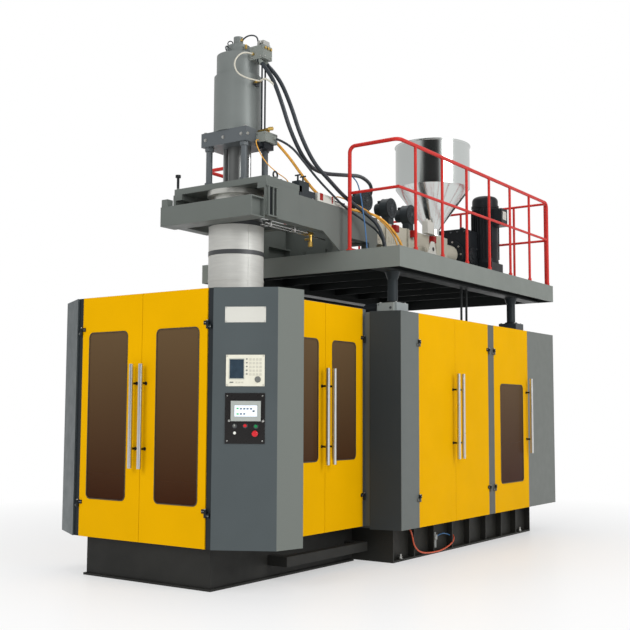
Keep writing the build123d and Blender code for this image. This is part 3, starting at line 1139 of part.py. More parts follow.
# Die core: the cone in the die ring, its rod through the mandrel and the piston that sets the gap
core_radius = DIE_OPENING - DIE_GAP
with BuildPart() as die_core:
    upright(0, 0, (die_bottom, die_bottom + DIE_LAND), core_radius)
    with Locations((0, 0, die_bottom + DIE_LAND + (CORE_HEIGHT - DIE_LAND) / 2)):
        Cone(core_radius, CORE_TOP_RADIUS, CORE_HEIGHT - DIE_LAND)
    upright(0, 0, (die_bottom + CORE_HEIGHT, piston_floor + SLIDE_CLEARANCE), CORE_ROD_RADIUS)
    upright(0, 0, (piston_floor + SLIDE_CLEARANCE, piston_floor + PARISON_HEAD),
            PARISON_BORE - SLIDE_CLEARANCE)
write(die_core, "die_core")

# Ram: the ring piston in the chamber, two rods and the piston in the cylinder above
ram_floor = CYLINDER_PLATE_TOP + CYLINDER_END
ring_bottom = CHAMBER_FLOOR + CHAMBER_SPACE
with BuildPart() as ram:
    upright(0, 0, (ring_bottom, ring_bottom + RAM_HEAD), BODY_BORE - SLIDE_CLEARANCE)
    upright(0, 0, (ring_bottom, ring_bottom + RAM_HEAD), PARISON_CYLINDER_RADIUS + SLIDE_CLEARANCE,
            Mode.SUBTRACT)
    for x, y in rods:
        upright(x, y, (ring_bottom + RAM_HEAD, ram_floor + SLIDE_CLEARANCE), RAM_ROD_RADIUS)
    upright(0, 0, (ram_floor + SLIDE_CLEARANCE, ram_floor + RAM_HEAD), CYLINDER_BORE - SLIDE_CLEARANCE)
write(ram, "ram")

with BuildPart() as ram_cylinder:
    upright(0, 0, (CYLINDER_PLATE_TOP, CYLINDER_STEP), CYLINDER_RADIUS)
    upright(0, 0, (CYLINDER_STEP, CYLINDER_SHOULDER), CYLINDER_UPPER_RADIUS)
    upright(0, 0, (CYLINDER_SHOULDER, CAP_TOP), CAP_RADIUS)
    upright(0, 0, (CAP_TOP, PLUG_TOP), PLUG_RADIUS)
    upright(0, 0, (ram_floor, CYLINDER_SHOULDER - CYLINDER_END), CYLINDER_BORE, Mode.SUBTRACT)
    for x, y in rods:
        upright(x, y, (CYLINDER_PLATE_TOP, ram_floor), rod_hole, Mode.SUBTRACT)
write(ram_cylinder, "ram_cylinder")

# Heater cover: a sheet drum with bands, a screwed seam and a slotted cone up to the head's body
with BuildPart() as heater_cover:
    upright(0, 0, (COVER_BOTTOM, COVER_TOP), COVER_RADIUS)
    for z in ((COVER_TOP - BAND_HEIGHT, COVER_TOP), (COVER_BAND, COVER_BAND + BAND_HEIGHT), COVER_RING):
        upright(0, 0, z, COVER_RADIUS + BAND_PROUD)
    with Locations(Location((0, 0, 0), (0, 0, COVER_SEAM_ANGLE))):
        with Locations((COVER_RADIUS, 0, (COVER_BOTTOM + COVER_TOP) / 2)):
            Box(2 * COVER_SEAM[1], COVER_SEAM[0], COVER_TOP - COVER_BOTTOM)
    upright(0, 0, (COVER_BOTTOM + COVER_SHEET, COVER_TOP), COVER_RADIUS - COVER_SHEET, Mode.SUBTRACT)
    upright(0, 0, (COVER_BOTTOM, COVER_BOTTOM + COVER_SHEET), BODY_RADIUS + SLIDE_CLEARANCE, Mode.SUBTRACT)
    with BuildSketch(Plane.XZ) as skirt:
        with BuildLine():
            Polyline((COVER_RADIUS - COVER_SHEET, COVER_TOP), (COVER_RADIUS, COVER_TOP),
                     (SKIRT_TOP_RADIUS, SKIRT_TOP), (BODY_RADIUS + SLIDE_CLEARANCE, SKIRT_TOP), close=True)
        make_face()
    revolve(skirt.sketch, axis=Axis.Z)
    with PolarLocations(COVER_RADIUS - SKIRT_SLOT[1] / 2, SKIRT_SLOTS):
        with Locations((0, 0, (COVER_TOP + SKIRT_TOP) / 2)):
            Box(2 * SKIRT_SLOT[1], SKIRT_SLOT[0], SKIRT_SLOT[1], mode=Mode.SUBTRACT)
write(heater_cover, "heater_cover")

# Extruder: barrel with its feed throat, heater jackets, supports and the elbow into the head
screw_bore = SCREW_RADIUS + SCREW_CLEARANCE
throat_y = (THROAT_Y - THROAT_BLOCK[1] / 2, THROAT_Y + THROAT_BLOCK[1] / 2)
disc_front = GEARBOX_START - GEARBOX_DISC[1]
screw_tip = BARREL_TIP + SCREW_RADIUS
jacket_z = (SCREW_AXIS - JACKET_HALF, SCREW_AXIS + JACKET_HALF)
jacket_x = (EXTRUDER_X - JACKET_HALF, EXTRUDER_X + JACKET_HALF)
with BuildPart() as extruder_barrel:
    for start, end in zip(JACKET_EDGES, JACKET_EDGES[1:]):
        jacket = (start, end - JACKET_GAP)
        block(jacket_x, jacket, jacket_z)
        block((jacket_x[0] + JACKET_WALL, jacket_x[1] - JACKET_WALL),
              (jacket[0] + JACKET_WALL, jacket[1] - JACKET_WALL),
              (jacket_z[0] + JACKET_WALL, jacket_z[1] - JACKET_WALL), Mode.SUBTRACT)
        for y in BLOWER_Y:
            if jacket[0] < y < jacket[1]:
                upright(EXTRUDER_X, y, (SCREW_AXIS, jacket_z[1]), BLOWER_NECK[0] / 3, Mode.SUBTRACT)
                block((EXTRUDER_X - BLOWER_NECK[0], EXTRUDER_X + BLOWER_NECK[0]),
                      (y - BLOWER_NECK[1] / 2, y + BLOWER_NECK[1] / 2),
                      (jacket_z[0], jacket_z[0] + JACKET_WALL), Mode.SUBTRACT)
    for end in JACKET_EDGES[1:]:
        block((EXTRUDER_X - SUPPORT_HALF, EXTRUDER_X + SUPPORT_HALF),
              (end - (JACKET_GAP + SUPPORT_THICKNESS) / 2, end - (JACKET_GAP - SUPPORT_THICKNESS) / 2),
              (DECK, SCREW_AXIS))
    along_y(EXTRUDER_X, (BARREL_TIP, disc_front), SCREW_AXIS, BARREL_RADIUS)
    block((EXTRUDER_X - THROAT_BLOCK[0] / 2, EXTRUDER_X + THROAT_BLOCK[0] / 2), throat_y,
          (SCREW_AXIS - LANTERN_RADIUS, THROAT_TOP))
    along_y(EXTRUDER_X, (throat_y[1], disc_front), SCREW_AXIS, LANTERN_RADIUS)
    with BuildSketch(Plane((EXTRUDER_X, BARREL_TIP, SCREW_AXIS), z_dir=(0, -1, 0))) as pipe:
        Circle(ADAPTER_RADIUS)
    with BuildLine() as elbow:
        FilletPolyline((EXTRUDER_X, BARREL_TIP, SCREW_AXIS), (EXTRUDER_X, 0, SCREW_AXIS),
                       (BODY_RADIUS, 0, SCREW_AXIS), radius=ADAPTER_BEND)
    sweep(pipe.sketch, path=elbow.line)
    upright(0, 0, (SCREW_AXIS - BARREL_RADIUS, SCREW_AXIS + BARREL_RADIUS), BODY_RADIUS + SLIDE_CLEARANCE,
            Mode.SUBTRACT)
    along_y(EXTRUDER_X, (screw_tip, disc_front), SCREW_AXIS, screw_bore, Mode.SUBTRACT)
    along_y(EXTRUDER_X, (BARREL_TIP, screw_tip), SCREW_AXIS, ADAPTER_BORE, Mode.SUBTRACT)
    with BuildSketch(Plane((EXTRUDER_X, BARREL_TIP, SCREW_AXIS), z_dir=(0, -1, 0))) as melt:
        Circle(ADAPTER_BORE)
    sweep(melt.sketch, path=elbow.line, mode=Mode.SUBTRACT)
    upright(EXTRUDER_X, THROAT_Y, (SCREW_AXIS, THROAT_TOP), FEED_RADIUS, Mode.SUBTRACT)
write(extruder_barrel, "extruder_barrel")

# Screw: a root with one helical flight, and a shank in the gearbox
screw_start = screw_tip + SCREW_PITCH / 4
flight_start = Vector(EXTRUDER_X, screw_start + SCREW_PITCH / 2, SCREW_AXIS)
with BuildPart() as screw:
    along_y(EXTRUDER_X, (screw_start, disc_front + SHANK_LENGTH - SLIDE_CLEARANCE), SCREW_AXIS, SCREW_ROOT)
    with BuildLine() as helix:
        Helix(pitch=SCREW_PITCH, height=throat_y[1] - flight_start.Y, radius=SCREW_ROOT,
              center=flight_start, direction=(0, 1, 0))
    turn = helix.line.edges()[0]
    with BuildSketch(Plane(turn @ 0, x_dir=(turn @ 0) - flight_start, z_dir=turn % 0)) as flight:
        with Locations(((SCREW_RADIUS - SCREW_ROOT - FLIGHT_LAP) / 2, 0)):
            Rectangle(SCREW_RADIUS - SCREW_ROOT + FLIGHT_LAP, FLIGHT_THICKNESS)
    sweep(flight.sketch, path=helix.line, is_frenet=True)
write(screw, "screw")

# Hopper: a straight rim, a cone and a neck of thin sheet, on a flange over the feed throat
flange_top = THROAT_TOP + HOPPER_FLANGE[1]
hopper_outline = [
    (HOPPER_NECK_RADIUS, flange_top),
    (HOPPER_NECK_RADIUS, HOPPER_NECK_TOP),
    (HOPPER_RADIUS, HOPPER_CONE_TOP),
    (HOPPER_RADIUS, HOPPER_RIM),
]
hopper_inside = [(radius - HOPPER_SHEET, z) for radius, z in reversed(hopper_outline)]
with BuildPart() as hopper:
    with BuildSketch(Plane((EXTRUDER_X, THROAT_Y, 0), x_dir=(1, 0, 0), z_dir=(0, -1, 0))) as wall:
        with BuildLine():
            Polyline(*hopper_outline, *hopper_inside, close=True)
        make_face()
        with Locations((HOPPER_RADIUS, HOPPER_RIM)):
            Circle(HOPPER_RIM_BEAD)
    revolve(wall.sketch, axis=Axis((EXTRUDER_X, THROAT_Y, 0), (0, 0, 1)))
    upright(EXTRUDER_X, THROAT_Y, (THROAT_TOP, flange_top), HOPPER_FLANGE[0])
    upright(EXTRUDER_X, THROAT_Y, (THROAT_TOP, flange_top), HOPPER_NECK_RADIUS - HOPPER_SHEET, Mode.SUBTRACT)
write(hopper, "hopper")

# Gearbox with its thrust disc in front and the foot box under the upright motor
gearbox_end = GEARBOX_START + GEARBOX[1]
with BuildPart() as gearbox:
    block((EXTRUDER_X - GEARBOX[0] / 2, EXTRUDER_X + GEARBOX[0] / 2), (GEARBOX_START, gearbox_end),
          (DECK + GEARBOX_FOOT[1], GEARBOX_TOP))
    fillet(gearbox.edges().filter_by(Axis.Y), GEARBOX_ROUND)
    block((EXTRUDER_X - GEARBOX_FOOT[0] / 2, EXTRUDER_X + GEARBOX_FOOT[0] / 2), (GEARBOX_START, gearbox_end),
          (DECK, DECK + GEARBOX_FOOT[1]))
    block((EXTRUDER_X, MOTOR_AT[0] + MOTOR_RADIUS), (gearbox_end, MOTOR_AT[1] + MOTOR_RADIUS),
          (DECK, MOTOR_FOOT))
    along_y(EXTRUDER_X, (disc_front, GEARBOX_START), SCREW_AXIS, GEARBOX_DISC[0])
    along_y(EXTRUDER_X, (disc_front, disc_front + SHANK_LENGTH), SCREW_AXIS, SCREW_ROOT + SHANK_CLEARANCE,
            Mode.SUBTRACT)
write(gearbox, "gearbox")

with BuildPart() as motor:
    upright(*MOTOR_AT, (MOTOR_FOOT, MOTOR_TOP), MOTOR_RADIUS)
    fillet(motor.edges().group_by(Axis.Z)[-1], (MOTOR_TOP - MOTOR_COWL) / 2)
    upright(*MOTOR_AT, (MOTOR_FOOT, MOTOR_FOOT + MOTOR_FLANGE[1]), MOTOR_FLANGE[0])
    upright(*MOTOR_AT, (MOTOR_COWL - MOTOR_FLANGE[1], MOTOR_COWL), MOTOR_RADIUS + HOPPER_RIM_BEAD)
    block((MOTOR_AT[0] + MOTOR_RADIUS / 2, MOTOR_AT[0] + MOTOR_RADIUS + MOTOR_BOX[0]),
          (MOTOR_AT[1] - MOTOR_BOX[1] / 2, MOTOR_AT[1] + MOTOR_BOX[1] / 2),
          (MOTOR_COWL - MOTOR_FLANGE[1] * 2 - MOTOR_BOX[2], MOTOR_COWL - MOTOR_FLANGE[1] * 2))
write(motor, "motor")

# Blowers that cool the barrel, one over each jacket
with BuildPart() as blowers:
    for y in BLOWER_Y:
        drum = (EXTRUDER_X - BLOWER_WIDTH / 2, EXTRUDER_X + BLOWER_WIDTH / 2)
        along_x(drum, y, BLOWER_AXIS, BLOWER_RADIUS)
        block((EXTRUDER_X - BLOWER_NECK[0] / 2, EXTRUDER_X + BLOWER_NECK[0] / 2),
              (y - BLOWER_NECK[1] / 2, y + BLOWER_NECK[1] / 2), (jacket_z[1], BLOWER_AXIS))
        along_x((drum[1] - BLOWER_INLET[1], drum[1]), y, BLOWER_AXIS, BLOWER_INLET[0], Mode.SUBTRACT)
        along_x((drum[1] - BLOWER_INLET[1], drum[1]), y, BLOWER_AXIS, BLOWER_INLET[0] / 3)
        along_x((drum[0] - BLOWER_MOTOR[1], drum[0]), y, BLOWER_AXIS, BLOWER_MOTOR[0])
write(blowers, "blowers")


def ferrule(end, beyond, radius):
    """Add the fitting that the hose end butts on; beyond is the next point of the hose."""
    face = Plane(Vector(*end), z_dir=Vector(*end) - Vector(*beyond))
    with BuildSketch(face) as collar:
        Circle(radius + FERRULE_WALL)
    extrude(collar.sketch, amount=FERRULE_LENGTH)


def cord(name, points, radius):
    """Write a hose or cable of straight runs joined by arcs, and print its bends, length and volume."""
    runs = [Vector(*end) - Vector(*start) for start, end in zip(points, points[1:])]
    bends = []
    for before, after in zip(runs, runs[1:]):
        half_turn = radians(before.get_angle(after)) / 2
        bends.append(BEND_SHARE * min(before.length, after.length) / tan(half_turn))
    with BuildPart() as tube:
        with BuildLine() as route:
            FilletPolyline(*points, radius=bends)
        with BuildSketch(Plane(Vector(*points[0]), z_dir=runs[0])) as section:
            Circle(radius)
        sweep(section.sketch, path=route.line)
    write(tube, name)
    length = sum(edge.length for edge in route.line.edges())
    print(name, "length", round(length), "volume", round(tube.part.volume),
          "section x length", round(section.sketch.area * length), "bends", [round(bend) for bend in bends])


cord("ram_supply_hose", SUPPLY_ROUTE, HOSE_RADIUS)
cord("ram_return_hose", RETURN_ROUTE, HOSE_RADIUS)
cord("servo_hose", SERVO_ROUTE, SERVO_HOSE_RADIUS)
cord("heater_cable", HEATER_ROUTE, HEATER_CABLE_RADIUS)

# Hydraulic blocks: the manifold on the cylinder, the servo block on the stand, pipes and deck ports
servo_x = (CYLINDER_PLATE[0] / 2, CYLINDER_PLATE[0] / 2 + SERVO_REACH)
with BuildPart() as hydraulic_blocks:
    block((0, MANIFOLD_REACH), (-MANIFOLD_WIDTH / 2, MANIFOLD_WIDTH / 2), (MANIFOLD_BOTTOM, MANIFOLD_TOP))
    for route, radius in ((SUPPLY_ROUTE, HOSE_RADIUS), (RETURN_ROUTE, HOSE_RADIUS)):
        ferrule(route[0], route[1], radius)
    upright(0, 0, (MANIFOLD_BOTTOM - FERRULE_LENGTH, MANIFOLD_TOP), CYLINDER_UPPER_RADIUS + SLIDE_CLEARANCE,
            Mode.SUBTRACT)
    block(servo_x, SERVO_Y, SERVO_Z)
    for x, y in STEEL_PIPE_AT:
        upright(x, y, (SERVO_Z[1], MANIFOLD_BOTTOM), STEEL_PIPE_RADIUS)
    ferrule(SERVO_ROUTE[0], SERVO_ROUTE[1], SERVO_HOSE_RADIUS)
    ferrule(HEATER_ROUTE[0], HEATER_ROUTE[1], HEATER_CABLE_RADIUS)
    for route, radius in ((SUPPLY_ROUTE, HOSE_RADIUS), (RETURN_ROUTE, HOSE_RADIUS),
                          (SERVO_ROUTE, SERVO_HOSE_RADIUS), (HEATER_ROUTE, HEATER_CABLE_RADIUS)):
        ferrule(route[-1], route[-2], radius)
    block((-PLATFORM_HALF, PLATFORM_HALF), (PLATFORM_FRONT, PLATFORM_BACK), (PLATFORM_BOTTOM, DECK),
          Mode.SUBTRACT)
write(hydraulic_blocks, "hydraulic_blocks")
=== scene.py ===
import math
from itertools import product

import bmesh
import bpy
from mathutils import Matrix, Vector


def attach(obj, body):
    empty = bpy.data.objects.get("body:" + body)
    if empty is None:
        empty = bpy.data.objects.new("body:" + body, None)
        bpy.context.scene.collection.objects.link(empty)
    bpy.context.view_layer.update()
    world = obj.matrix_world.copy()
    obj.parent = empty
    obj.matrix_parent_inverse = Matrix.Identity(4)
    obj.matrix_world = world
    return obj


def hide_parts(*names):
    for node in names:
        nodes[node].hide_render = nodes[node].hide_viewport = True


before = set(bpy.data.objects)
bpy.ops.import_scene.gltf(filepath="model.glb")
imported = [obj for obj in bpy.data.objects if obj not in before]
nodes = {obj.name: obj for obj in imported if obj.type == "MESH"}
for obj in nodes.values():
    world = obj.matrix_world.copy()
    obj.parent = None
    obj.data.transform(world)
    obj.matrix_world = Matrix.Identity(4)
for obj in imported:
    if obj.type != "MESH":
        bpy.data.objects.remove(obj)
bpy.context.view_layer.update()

UP = Vector((0, 0, 1))


# Camera at the photograph's viewing place, in metres and degrees
CAMERA_AT = (6.519, -7.931, 1.547)
CAMERA_YAW = 35.143
CAMERA_PITCH = 5.057
CAMERA_ROLL = 0.255
CAMERA_LENS = 57.716
CAMERA_SHIFT = (0.00698, 0.00917)

lens = bpy.data.cameras.new("camera")
lens.lens = CAMERA_LENS
lens.shift_x, lens.shift_y = CAMERA_SHIFT
lens.clip_end = 200
camera = bpy.data.objects.new("camera", lens)
camera.matrix_world = (
    Matrix.Translation(CAMERA_AT)
    @ Matrix.Rotation(math.radians(CAMERA_YAW), 4, "Z")
    @ Matrix.Rotation(math.radians(90 + CAMERA_PITCH), 4, "X")
    @ Matrix.Rotation(math.radians(CAMERA_ROLL), 4, "Z")
)
bpy.context.scene.collection.objects.link(camera)
bpy.context.scene.camera = camera


# Materials
def rgb(red, green, blue):
    """An sRGB colour of 0 to 255 as linear RGBA."""
    def linear(value):
        share = value / 255
        return share / 12.92 if share < 0.04045 else ((share + 0.055) / 1.055) ** 2.4
    return (linear(red), linear(green), linear(blue), 1)


def shade(colour, factor):
    """A colour made lighter or darker."""
    return tuple(min(1, part * factor) for part in colour[:3]) + (1,)


class Nodes:
    """A node tree, filled step by step."""

    def __init__(self, tree):
        self.tree = tree

    def node(self, kind, **values):
        """A new node; a value sets the node's property of that name, or else its input."""
        made = self.tree.nodes.new("ShaderNode" + kind)
        for name, value in values.items():
            if name in made.bl_rna.properties:
                setattr(made, name, value)
            else:
                made.inputs[name.replace("_", " ")].default_value = value
        return made

    def link(self, value, socket):
        """Give an input a fixed value, or the output of another node."""
        if isinstance(value, (int, float, tuple)):
            socket.default_value = value
        else:
            self.tree.links.new(value, socket)

    def vector(self, operation, first, second=None):
        """One step of vector arithmetic."""
        made = self.node("VectorMath", operation=operation)
        self.link(first, made.inputs[0])
        if second is not None:
            self.link(second, made.inputs[1])
        return made.outputs["Value" if operation in ("DOT_PRODUCT", "LENGTH") else "Vector"]

    def number(self, operation, first, second):
        """One step of plain arithmetic."""
        made = self.node("Math", operation=operation)
        self.link(first, made.inputs[0])
        self.link(second, made.inputs[1])
        return made.outputs["Value"]

    def spread(self, source, low, high, from_low=0.3, from_high=0.7):
        """The source's usual span as a number from low to high."""
        made = self.node("MapRange", From_Min=from_low, From_Max=from_high, To_Min=low, To_Max=high)
        self.link(source, made.inputs["Value"])
        return made.outputs["Result"]

    def mixed(self, factor, first, second):
        """The first shader where the factor is 0, the second where it is 1."""
        made = self.node("MixShader")
        self.link(factor, made.inputs[0])
        self.link(first, made.inputs[1])
        self.link(second, made.inputs[2])
        return made.outputs["Shader"]


class Finish(Nodes):
    """A procedural material: colour that varies, grain, and rounded edges."""

    def __init__(self, name, colour, rough, metal=0.0):
        self.material = bpy.data.materials.new(name)
        self.material.use_nodes = True
        super().__init__(self.material.node_tree)
        self.shader = self.tree.nodes["Principled BSDF"]
        self.colour = colour
        self.rough = rough
        self.normal = None
        self.set(Base_Color=colour, Roughness=rough, Metallic=metal)
        self.place = self.node("TexCoord").outputs["Object"]

    def set(self, **values):
        """Fixed values for the shader's inputs."""
        for name, value in values.items():
            self.shader.inputs[name.replace("_", " ")].default_value = value
        return self

    def noise(self, scale, detail, stretch=None):
        """Noise at the object's coordinates, which stretch scales along each axis."""
        made = self.node("TexNoise", Scale=scale, Detail=detail)
        place = self.place
        if stretch:
            mapping = self.node("Mapping", Scale=stretch)
            self.link(place, mapping.inputs["Vector"])
            place = mapping.outputs["Vector"]
        self.link(place, made.inputs["Vector"])
        return made.outputs["Fac"]

    def over(self, factor, colour):
        """A second colour where the factor is 1."""
        made = self.node("Mix", data_type="RGBA")
        self.link(factor, made.inputs["Factor"])
        self.link(self.colour, made.inputs[6])
        self.link(colour, made.inputs[7])
        self.colour = made.outputs[2]
        self.link(self.colour, self.shader.inputs["Base Color"])
        return self

    def mottle(self, amount, scale=2.0, stretch=None):
        """Colour that varies a little over the surface."""
        light = shade(self.colour, 1 + amount)
        self.colour = shade(self.colour, 1 - amount)
        return self.over(self.spread(self.noise(scale, 5.0, stretch), 0, 1), light)

    def worn(self, amount, scale=9.0):
        """Roughness that varies in smudges."""
        factor = self.spread(self.noise(scale, 4.0), self.rough - amount, self.rough + amount)
        self.link(factor, self.shader.inputs["Roughness"])
        return self

    def bent(self, normal):
        """Shade with this normal, which later relief starts from."""
        self.normal = normal
        self.link(normal, self.shader.inputs["Normal"])
        return self

    def grain(self, strength, scale, stretch=None, distance=0.001):
        """Fine relief."""
        bump = self.node("Bump", Strength=strength, Distance=distance)
        self.link(self.noise(scale, 2.0, stretch), bump.inputs["Height"])
        if self.normal:
            self.link(self.normal, bump.inputs["Normal"])
        return self.bent(bump.outputs["Normal"])

    def peel(self):
        """The orange-peel surface of machine paint."""
        return self.grain(0.12, 420.0, distance=0.0004)

    def eased(self, radius):
        """Edges that catch the light as if rounded to this radius."""
        return self.bent(self.node("Bevel", samples=4, Radius=radius).outputs["Normal"])

    def axis(self, name):
        """One of the object's coordinates."""
        split = self.node("SeparateXYZ")
        self.link(self.place, split.inputs["Vector"])
        return split.outputs[name]

    def within(self, **spans):
        """1 where each named coordinate lies in its span."""
        factor = 1.0
        for name, (low, high) in spans.items():
            value = self.axis(name)
            for operation, limit in (("GREATER_THAN", low), ("LESS_THAN", high)):
                factor = self.number("MULTIPLY", factor, self.number(operation, value, limit))
        return factor

    def zone(self, colour, **spans):
        """A second colour within spans of the object's coordinates."""
        return self.over(self.within(**spans), colour)

    def turned(self, x, y, slope=1.0):
        """Round walls about an upright axis, in place of flat facets; a cone's slope can be eased."""
        flat = self.node("NewGeometry").outputs["True Normal"]
        outward = self.vector("MULTIPLY", self.vector("SUBTRACT", self.place, (x, y, 0)), (1, 1, 0))
        radial = self.vector("NORMALIZE", outward)
        share = self.vector("DOT_PRODUCT", flat, radial)
        split = self.node("SeparateXYZ")
        self.link(flat, split.inputs["Vector"])
        rise = split.outputs["Z"]
        side = self.number("MULTIPLY", share, share)
        level = self.number("SUBTRACT", 1.001, self.number("MULTIPLY", rise, rise))
        is_wall = self.number("GREATER_THAN", side, self.number("MULTIPLY", level, 0.93))
        scaled = self.node("VectorMath", operation="SCALE")
        self.link(radial, scaled.inputs[0])
        self.link(share, scaled.inputs["Scale"])
        upward = self.vector("MULTIPLY", flat, (0, 0, slope))
        round_normal = self.vector("ADD", scaled.outputs["Vector"], upward)
        chosen = self.node("Mix", data_type="VECTOR")
        self.link(is_wall, chosen.inputs["Factor"])
        self.link(flat, chosen.inputs[4])
        self.link(self.vector("NORMALIZE", round_normal), chosen.inputs[5])
        return self.bent(chosen.outputs[1])

    def satin(self, shine=0.18):
        """The finished material, with the uneven gloss of machine paint."""
        return self.worn(0.06).set(Specular_IOR_Level=shine).material


def coated(name, colour, rough, mottle=0.05, ease=0.003):
    """Machine paint, still to be given its gloss."""
    return Finish(name, colour, rough).eased(ease).peel().mottle(mottle)


def painted(name, colour, rough, mottle):
    """Satin machine paint of one colour."""
    return coated(name, colour, rough, mottle).satin()


def brushed(name, colour, rough, stretch):
    """Metal with grain along one direction."""
    made = Finish(name, colour, rough, 1.0).eased(0.002).grain(0.25, 30.0, stretch, 0.0003)
    return made.mottle(0.06, 6.0, stretch).worn(0.05, 14.0).material


def plastic(name, colour, rough):
    made = Finish(name, colour, rough).mottle(0.03, 20.0).grain(0.1, 900.0, distance=0.0002)
    return made.worn(0.04, 40.0).material


def rubber(name, colour, rough):
    made = Finish(name, colour, rough).mottle(0.12, 30.0).grain(0.3, 500.0, distance=0.0005)
    return made.worn(0.08, 25.0).material


YELLOW = rgb(229, 171, 0)
MACHINE_GREY = rgb(106, 111, 107)
SATIN_BLACK = rgb(40, 43, 45)
FRONT, SIDE_X, CABINET_X = -1.327, 0.93, 1.351
SIDE_SPAN, CABINET_SPAN = (-1, 1.0), (1.2, 6)


def proud(made, low, high):
    """1 where a door's part stands out of the door's outer face by low to high."""
    on_front = made.within(Y=(FRONT - high, FRONT - low))
    on_side = made.within(X=(SIDE_X + low, SIDE_X + high), Y=SIDE_SPAN)
    on_cabinet = made.within(X=(CABINET_X + low, CABINET_X + high), Y=CABINET_SPAN)
    return made.number("MAXIMUM", on_front, made.number("MAXIMUM", on_side, on_cabinet))


doors = coated("door_paint", YELLOW, 0.55, 0.03)
door_paint = doors.over(proud(doors, 0.0006, 0.03), SATIN_BLACK).satin(0.02)
bars = Finish("handle_steel", rgb(206, 206, 204), 0.3, 1.0).mottle(0.04, 3.0, (1, 1, 0.3))
handle_steel = bars.over(proud(bars, 0.0, 0.0515), SATIN_BLACK).worn(0.04, 6.0).material

# Painted nodes of two colours: where the second colour lies, and the paint; on the control column and under
# the deck the second colour is painted light and painted shade
# Painted light: the control column's chamfer and right side are painted a lighter grey, as if lit from the
# right
PAINTED_LIGHT_SIDE = dict(X=(0.8, 2), Y=(-1.055, 0))
column_paint = coated("column_paint", rgb(78, 85, 87), 0.4).zone(rgb(112, 117, 112), **PAINTED_LIGHT_SIDE).satin()
REAR_POST = dict(X=(0.84, 0.95), Y=(0.9535, 1.02))
frame_paint = coated("frame_paint", rgb(36, 41, 44), 0.42, 0.08).zone(rgb(98, 105, 107), **REAR_POST).satin()
EYE_SPAN = (3.84, 4.2)
head_plate_paint = coated("head_plate_paint", MACHINE_GREY, 0.42).zone(SATIN_BLACK, Z=EYE_SPAN).satin()
# Painted shade: the deck's underside is painted dark grey
SHADED_UNDERSIDE = dict(X=(-1.334, 1.334), Y=(1.018, 5.151), Z=(2, 3.2))
deck_paint = coated("deck_paint", rgb(124, 129, 124), 0.45).zone(rgb(52, 55, 55), **SHADED_UNDERSIDE).satin(0.15)
REAR_SLEEVES = (3.0, 6)
sleeves = coated("sleeve_paint", rgb(152, 159, 159), 0.42, 0.07)
sleeve_paint = sleeves.zone(rgb(56, 62, 66), Y=REAR_SLEEVES).worn(0.06).material
STEEL_PIPES = dict(X=(0.3, 0.324), Z=(4.346, 5.104))
blocks = coated("block_paint", rgb(128, 133, 128), 0.42, 0.06, 0.002)
block_paint = blocks.zone(rgb(44, 48, 52), **STEEL_PIPES).satin()

body_paint = painted("body_paint", rgb(88, 89, 85), 0.4, 0.05)
# The rear base's paint is a slightly lighter copy of the front base's: painted light against the shade it
# stands in
base_paint = painted("base_paint", rgb(38, 38, 36), 0.5, 0.2)
rear_base_paint = painted("rear_base_paint", rgb(42, 42, 39), 0.5, 0.2)
arm_paint = painted("arm_paint", MACHINE_GREY, 0.42, 0.05)
head_paint = painted("head_paint", rgb(92, 97, 100), 0.34, 0.06)
dark_paint = painted("dark_paint", rgb(46, 52, 55), 0.4, 0.1)
black_paint = painted("black_paint", rgb(30, 33, 36), 0.36, 0.1)
rail_paint = painted("rail_paint", rgb(196, 48, 42), 0.4, 0.05)
strip_paint = painted("strip_paint", rgb(98, 105, 107), 0.42, 0.06)
pale_paint = painted("pale_paint", rgb(205, 204, 196), 0.4, 0.04)
jacket_sheet = painted("jacket_sheet", rgb(188, 184, 168), 0.36, 0.07)
red_paint = painted("red_paint", rgb(150, 30, 28), 0.38, 0.06)
block_grey = painted("block_grey", rgb(150, 155, 152), 0.4, 0.08)
regulator_grey = painted("regulator_grey", rgb(150, 152, 150), 0.4, 0.06)

steel = brushed("steel", rgb(206, 206, 204), 0.22, (1, 1, 14))
cover_steel = brushed("cover_steel", rgb(214, 213, 208), 0.34, (1, 1, 10))
machined = brushed("machined", rgb(176, 178, 178), 0.3, (14, 1, 1))
dark_steel = brushed("dark_steel", rgb(92, 95, 98), 0.34, (6, 6, 1))
zinc = Finish("zinc", rgb(190, 190, 186), 0.34, 1.0).mottle(0.1, 60.0).grain(0.2, 300.0).material
brass = Finish("brass", rgb(214, 178, 96), 0.28, 1.0).mottle(0.1, 60.0).grain(0.15, 400.0).material

# Round nodes: the hopper, the ram's cylinder and the head
HOPPER_AT = (0.35, 3.583)
bright = Finish("hopper_steel", rgb(206, 210, 208), 0.15, 1.0).turned(*HOPPER_AT, slope=0.3)
hopper_steel = bright.mottle(0.03, 1.5).worn(0.03, 2.0).material
cylinder = Finish("cylinder_paint", rgb(119, 124, 122), 0.38, 0.12).turned(0, 0)
cylinder_paint = cylinder.peel().mottle(0.06).satin(0.2)
HEAD_TOP = (3.83, 5)
head = Finish("head_steel", rgb(206, 206, 200), 0.34, 0.7).turned(0, 0).mottle(0.05, 6.0, (1, 1, 8))
head_steel = head.zone(rgb(112, 114, 113), Z=HEAD_TOP).worn(0.05, 14.0).material

# The heater cover is bright sheet with two dark bands and a grey skirt above them
COVER_BANDS = ((3.098, 3.144), (3.399, 3.445))
COVER_SKIRT = (3.445, 3.54)
cover = Finish("cover_sheet", rgb(204, 204, 199), 0.42, 0.12).turned(0, 0)
cover.grain(0.2, 30.0, (1, 1, 10), 0.0003).mottle(0.05, 6.0, (1, 1, 8))
for band in COVER_BANDS:
    cover.zone(rgb(70, 72, 74), Z=band)
cover_sheet = cover.zone(rgb(106, 108, 105), Z=COVER_SKIRT).worn(0.05, 14.0).material

